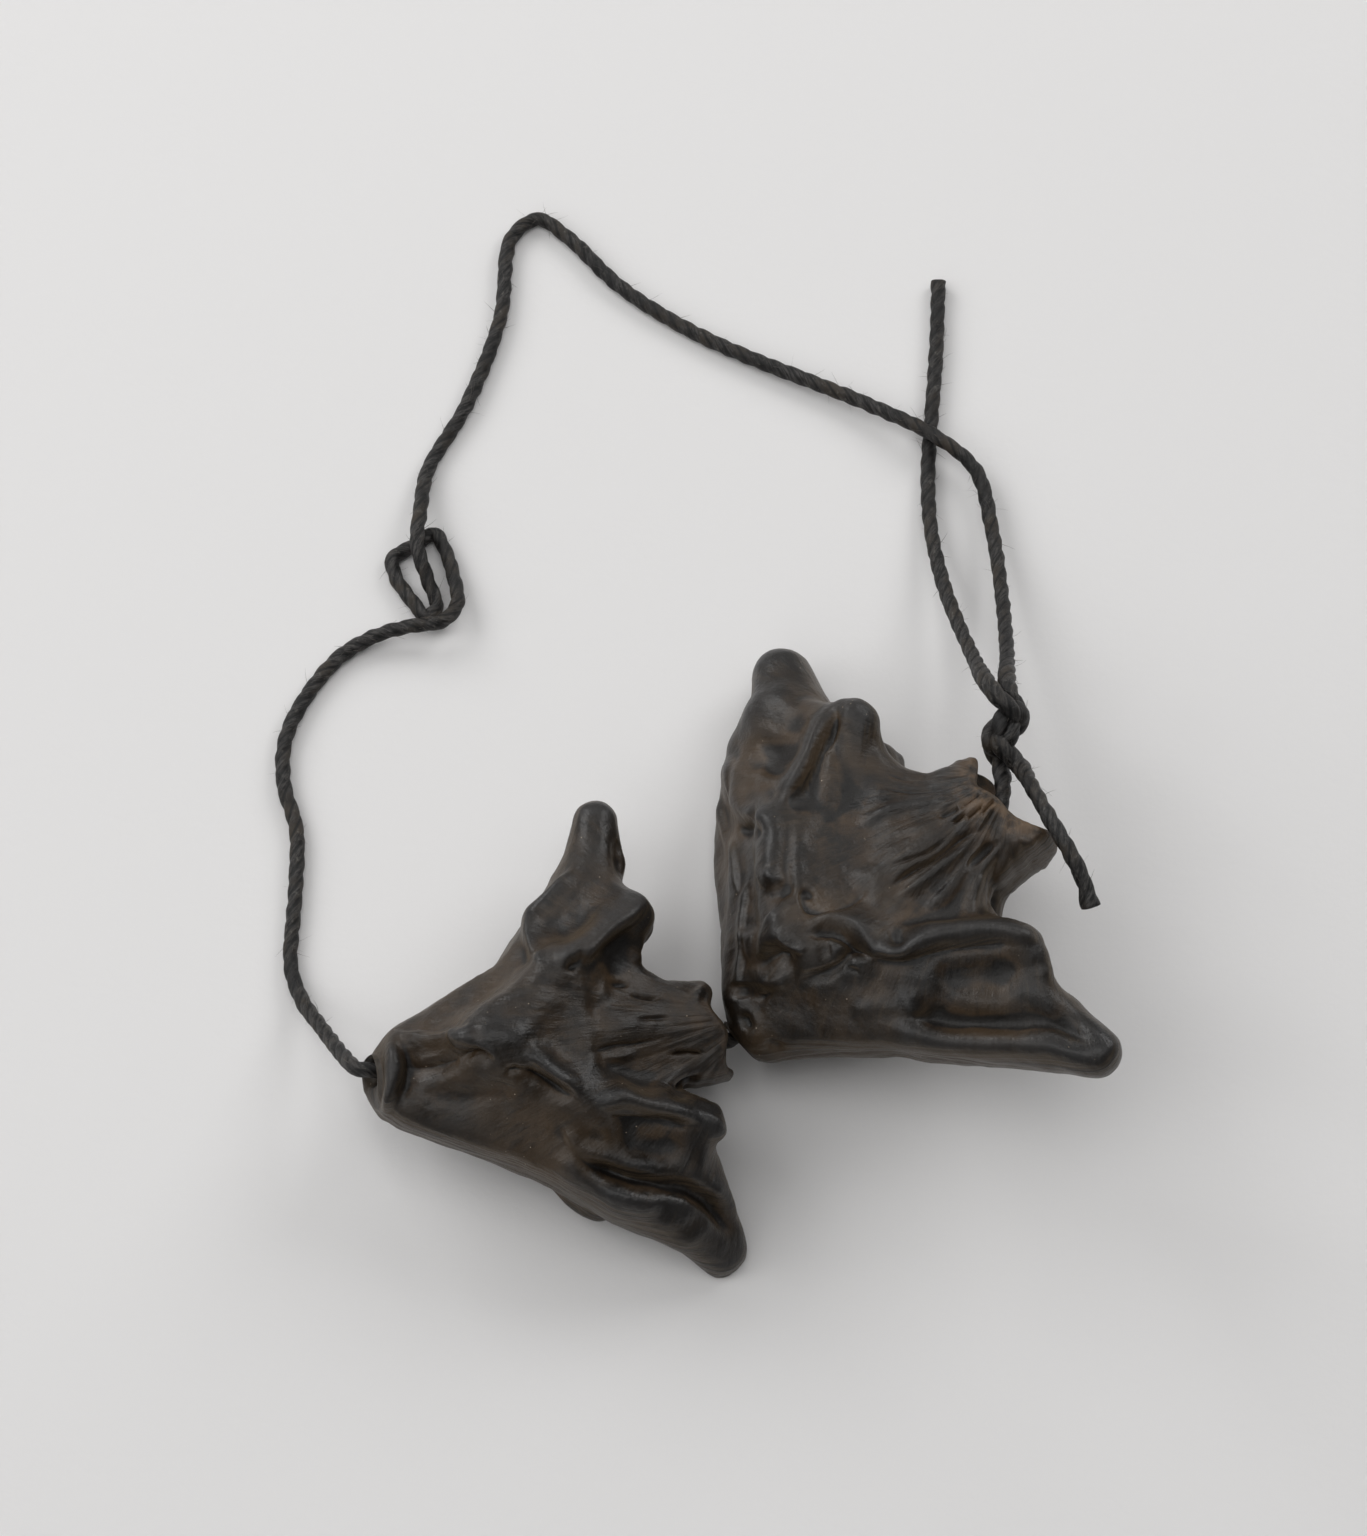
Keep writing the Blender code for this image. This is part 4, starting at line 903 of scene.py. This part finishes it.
# Height of the strokes. Each is a ridge, or a groove where its height is negative, along a smooth
# line, falls off as a bell curve to both sides, and fades out at its ends unless it is short. It
# shows on the skin that faces the front view.
def strokeHeight(nut, world, normal):
    plane, sight = frontView(world)
    middle, _ = frontView(np.array(nut["location"]))
    place = (plane - middle).reshape(-1, 2)
    seen = smoothStep(0.05, 0.4, (normal * sight).sum(-1)).ravel()
    total = np.zeros(len(place))
    for left, right, height, *line in nut["strokes"]:
        curve = smoothCurve([(x, y, 0.0) for x, y in line], 0.8)[:, :2]
        wide = max(left, right)
        low, high = curve.min(0) - 2.4 * wide, curve.max(0) + 2.4 * wide
        inside = np.flatnonzero(np.all((place > low) & (place < high), axis=1) & (seen > 0.0))
        nearest, side, along = np.full(len(inside), 1e9), np.zeros(len(inside)), np.zeros(len(inside))
        travelled = 0.0
        for a, b in zip(curve[:-1], curve[1:]):
            run, away = b - a, place[inside] - a
            t = np.clip((away @ run) / (run @ run), 0.0, 1.0)
            distance = norm(away - t[:, None] * run, axis=1)
            closer = distance < nearest
            nearest = np.where(closer, distance, nearest)
            side = np.where(closer, (run[0] * away[:, 1] - run[1] * away[:, 0]) / norm(run), side)
            along = np.where(closer, travelled + t * norm(run), along)
            travelled += norm(run)
        leftShare = smoothStep(-0.3, 0.3, side / np.maximum(nearest, 1e-6))
        width = right + (left - right) * leftShare
        fade = min(finish["strokeFade"], 0.35 * travelled)
        ends = 1.0
        if travelled > finish["shortStroke"]:
            ends = smoothStep(-0.25 * fade, fade, np.minimum(along, travelled - along))
        total[inside] += nut["depth"] * height * np.exp(-(nearest / width) ** 2) * ends * seen[inside]
    shape = normal.shape[:-1]
    return total.reshape(shape), seen.reshape(shape)


# Each line of the grid with its first and last point repeated.
def padLines(points):
    return np.concatenate([points[:, :1], points, points[:, -1:]], 1)


# The mean of each point's four neighbours on the grid.
def neighbourMean(points):
    padded = padLines(points)
    return (np.roll(points, 1, 0) + np.roll(points, -1, 0) + padded[:, :-2] + padded[:, 2:]) / 4.0


# Evens out the creases of the skin: every other pass pushes back, so that the nut does not shrink.
def smoothSkin(points, passes):
    for n in range(passes):
        mean = neighbourMean(points)
        mean[:, 0], mean[:, -1] = points[:, 0], points[:, -1]
        points = points + (mean - points) * (0.62, -0.60)[n % 2]
    return points


# Angle and distance about the crown, along which the shell's fibres fan out.
def fanPlace(points):
    x, y = points[..., 0] - finish["fanCentre"][0], finish["fanCentre"][1] - points[..., 1]
    return np.arctan2(x, y), np.hypot(x, y)


# Fibre folds: noise that varies fast round the fan and slowly along it, strongest near the crown,
# and on the narrow side faces noise that varies with the height and slowly along the edge.
def fibreHeight(points, normal, folds, seed):
    angle, reach = fanPlace(points)
    side = np.sign(points[..., 2])
    wide = np.stack([angle * 5.5 + 50.0, reach * 0.07, side * 3.0 + 9.0], -1)
    thin = np.stack([angle * 9.0 + 50.0, reach * 0.09, side * 3.0 + 5.0], -1)
    fold = layeredNoise(wide, seed, 3)
    sharp = 1.0 - np.abs(layeredNoise(thin, seed + 5, 2)) * 2.0
    near = np.exp(-np.maximum(reach - 5.0, 0.0) / 6.5)
    flat = smoothStep(0.45, 0.8, np.abs(normal[..., 2]))
    flank = (1.0 - smoothStep(0.35, 0.7, np.abs(normal[..., 2]))) * smoothStep(4.0, -3.0, points[..., 1])
    level = np.stack([points[..., 2] * 0.9 + 30.0, np.abs(points[..., 0]) * 0.06 + 4.0, side * 0.0 + 2.0], -1)
    stripes = layeredNoise(level, seed + 11, 3)
    neck = smoothStep(5.0, 13.0, points[..., 1])
    return folds * (0.24 * fold + 0.12 * sharp) * near * np.maximum(flat, neck) + 0.1 * stripes * flank


# Broad and fine unevenness all over.
def lumpyHeight(points, seed):
    broad = layeredNoise(points * 0.26 + 30.0, seed, 2)
    fine = layeredNoise(points * 0.9 + 60.0, seed + 3, 3)
    return 0.17 * broad + 0.035 * fine


# A ring round the bore, in the same angles as the skin.
def ring(centre, radius, theta):
    x, y, z = centre
    return np.stack([x + radius * np.cos(theta), np.full_like(theta, y), z + radius * np.sin(theta)], -1)


# The inside of the nut: over the crown's lip, down its funnel and the bore, and out at the base,
# as a smooth curve through a few rings on every line.
def innerLines(nut, theta, skin):
    bore = smoothCurve(nut["bore"], 4.0)
    radius = finish["boreRadius"]
    top, bottom = skin[:, 0], skin[:, -1]
    inward = np.stack([bore[0, 0] - top[:, 0], 0.0 * theta, bore[0, 2] - top[:, 2]], -1)
    inward /= norm(inward, axis=-1)[:, None]
    first = ring(bore[0], radius, theta)
    lip = top + inward * finish["lip"] * 0.45 + [0.0, 0.35, 0.0]
    innerLip = top + inward * finish["lip"] + [0.0, -0.1, 0.0]
    funnel = innerLip * 0.45 + first * 0.55 + [0.0, 0.1 * finish["funnel"], 0.0]
    rings = [top, lip, innerLip, funnel] + [ring(centre, radius, theta) for centre in bore]
    hole = ring(bore[-1] - [0.0, 0.5, 0.0], radius * 1.3, theta)
    hole[:, 1] = np.minimum(hole[:, 1], bottom[:, 1] + 0.1)
    rings += [hole, hole * 0.45 + bottom * 0.55 + [0.0, -0.25, 0.0], bottom]
    stations = np.stack(rings, 1)
    padded = padLines(stations)
    place = np.linspace(0.0, len(rings) - 1.0, finish["inner"] + 2)[1:-1]
    i = place.astype(int)
    t = (place - i)[None, :, None]
    a, b, c, d = (padded[:, i + n] for n in range(4))
    return b + 0.5 * t * (c - a + t * (2 * a - 5 * b + 4 * c - d + t * (3 * (b - c) + d - a)))


# How far the skin stands out from the mean of its neighbours: above nought on ridges, below it
# in hollows. The mean is taken a little wider each pass.
def bulge(points, normal, passes):
    mean = points
    for _ in range(passes):
        mean = neighbourMean(mean)
    return ((points - mean) * normal).sum(-1)


# Dark waxed shell: brown dust in the hollows, a paler grey on the crests that is partly wear and partly
# painted sheen, painted shade in the narrow grooves and deepest pits, striped along the fibres, bare and
# streaked on the narrow side faces, with pale flecks and a brown patch at the torn crown.
def nutMaterial(name, seed):
    s = Shader(name)
    place = s.coordinates()
    fan, reach, flank = s.attribute("fan"), s.attribute("reach"), s.attribute("flank")
    layer, hollow, groove = s.attribute("layer"), s.attribute("bulge"), s.attribute("groove")
    strand = s.vector(s.math("MULTIPLY", fan, 16.0), s.math("MULTIPLY", reach, 0.16), seed)
    sideways = s.vector(s.math("MULTIPLY", layer, 1.4), s.math("MULTIPLY", reach, 0.1), seed + 7.0)
    stripes = s.noise(sideways, 1.6, 6.0, 0.62)
    grain = s.mix(flank, s.noise(strand, 1.3, 6.0, 0.62), stripes)
    cloud = s.noise(place, 130.0, 4.0, 0.6)
    dust = s.noise(place, 420.0, 6.0, 0.65)
    inHollow = s.math("MULTIPLY", s.spread(hollow, 0.35, -0.7, 0.75), s.spread(dust, 0.34, 0.64))
    bare = s.math("MULTIPLY", flank, s.spread(stripes, 0.36, 0.6, 0.75, 0.15))
    flecks = s.math("MULTIPLY", s.spread(s.cells(place, 900.0), 0.07, 0.03), s.spread(dust, 0.5, 0.6))
    torn = s.math("MULTIPLY", s.attribute("crown"), s.spread(dust, 0.36, 0.62))
    base = s.mix(s.spread(cloud, 0.35, 0.68), shellTones["dark"], shellTones["mid"])
    base = s.layered(base, shellTones, (
        (s.spread(s.noise(place, 75.0, 3.0, 0.6), 0.48, 0.66, 0.6), "tan"),
        (inHollow, "hollow"),
        (s.spread(grain, 0.5, 0.75, 0.5), "fibre"),
        (s.spread(grain, 0.46, 0.3, 0.5), "crack"),
        # paler grey on the crests: partly wear, partly a painted sheen
        (s.spread(hollow, 0.15, 0.7, 0.75), "crestWearAndSheen"),
        # painted shade: the narrow grooves and the deepest hollows get a near-black colour
        (s.spread(groove, -0.04, -0.22, 0.92), "groove"),
        (s.spread(hollow, -0.6, -1.2, 0.9), "groove"),
        (bare, "flank"),
        (flecks, "fleck"),
        (torn, "crown"),
    ))
    rough = s.math("ADD", s.spread(cloud, 0.3, 0.7, 0.42, 0.31), s.spread(groove, 0.1, -0.3, 0.14))
    shape = s.bump(grain, 0.0003, 0.5)
    shape = s.bump(dust, 0.0003, 0.4, shape)
    shape = s.bump(s.noise(place, 1800.0, 4.0, 0.6), 0.0001, 0.5, shape)
    s.put(s.surface.inputs["Normal"], shape)
    return s.finish(base, rough, 0.42)


# The outer skin with its strokes, folds and lumps, closed by the lines of its inside. The strokes
# show on the upper side, and mirrored and lower on the under side.
def makeNut(name, nut, node, seed):
    theta, skin = outerSkin(nut)
    skin = smoothSkin(skin, 60)
    normal = skinNormals(skin)
    turn = np.array(Euler([radians(a) for a in nut["rotation"]]).to_matrix())
    place = np.array(nut["location"])
    drawn, seen = strokeHeight(nut, skin @ turn.T + place, normal @ turn.T)
    flip = np.array([1.0, 1.0, -1.0])
    under, _ = strokeHeight(nut, (skin * flip) @ turn.T + place, (normal * flip) @ turn.T)
    drawn = drawn + finish["underside"] * under * (1.0 - seen)
    skin = skin + normal * drawn[..., None]
    softer = smoothStep(7.0, 11.0, fanPlace(skin)[1])[..., None]
    skin = skin + (smoothSkin(skin, 10) - skin) * softer
    normal = skinNormals(skin)
    ends = np.linspace(0.0, 1.0, skin.shape[1])[None]
    calm = smoothStep(0.0, 0.03, ends) * smoothStep(1.0, 0.98, ends)
    raised = fibreHeight(skin, normal, nut["folds"], seed) + lumpyHeight(skin, seed + 40)
    skin = skin + normal * (raised * calm)[..., None]
    normal = skinNormals(skin)
    inner = innerLines(nut, theta, skin)
    lines = np.concatenate([skin, inner[:, ::-1]], 1)
    world = lines @ turn.T + place
    world[..., 2] = np.maximum(world[..., 2], 0.0)
    across, along = lines.shape[:2]
    corner = np.arange(across * along).reshape(across, along)
    beside, ahead = np.roll(corner, -1, 0), np.roll(corner, -1, 1)
    quads = np.stack([corner, ahead, np.roll(beside, -1, 1), beside], -1).reshape(-1, 4)
    item = meshObject(name, world, quads)
    angle, reach = fanPlace(lines)
    hidden = np.zeros(inner.shape[:2])
    wide = np.concatenate([bulge(skin, normal, 90), hidden - 1.0], 1)
    narrow = np.concatenate([bulge(skin, normal, 24), hidden - 0.4], 1)
    facing = np.concatenate([np.abs(normal[..., 2]), hidden + 0.5], 1)
    flank = 1.0 - smoothStep(0.35, 0.7, facing)
    crown = nut["crownBrown"] * smoothStep(8.4, 4.4, reach)
    # The narrow bulge marks the grooves, which get painted shade in the colour and more roughness.
    vertexValues(item, fan=angle, reach=reach, layer=lines[..., 2], bulge=wide, groove=narrow,
                 flank=flank, crown=crown)
    item.data.materials.append(nutMaterial(name + " shell", float(seed)))
    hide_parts(node)
    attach(item, "root")


makeNut("nutRight", rightNut, "nut_right", 3)
makeNut("nutLeft", leftNut, "nut_left", 4)
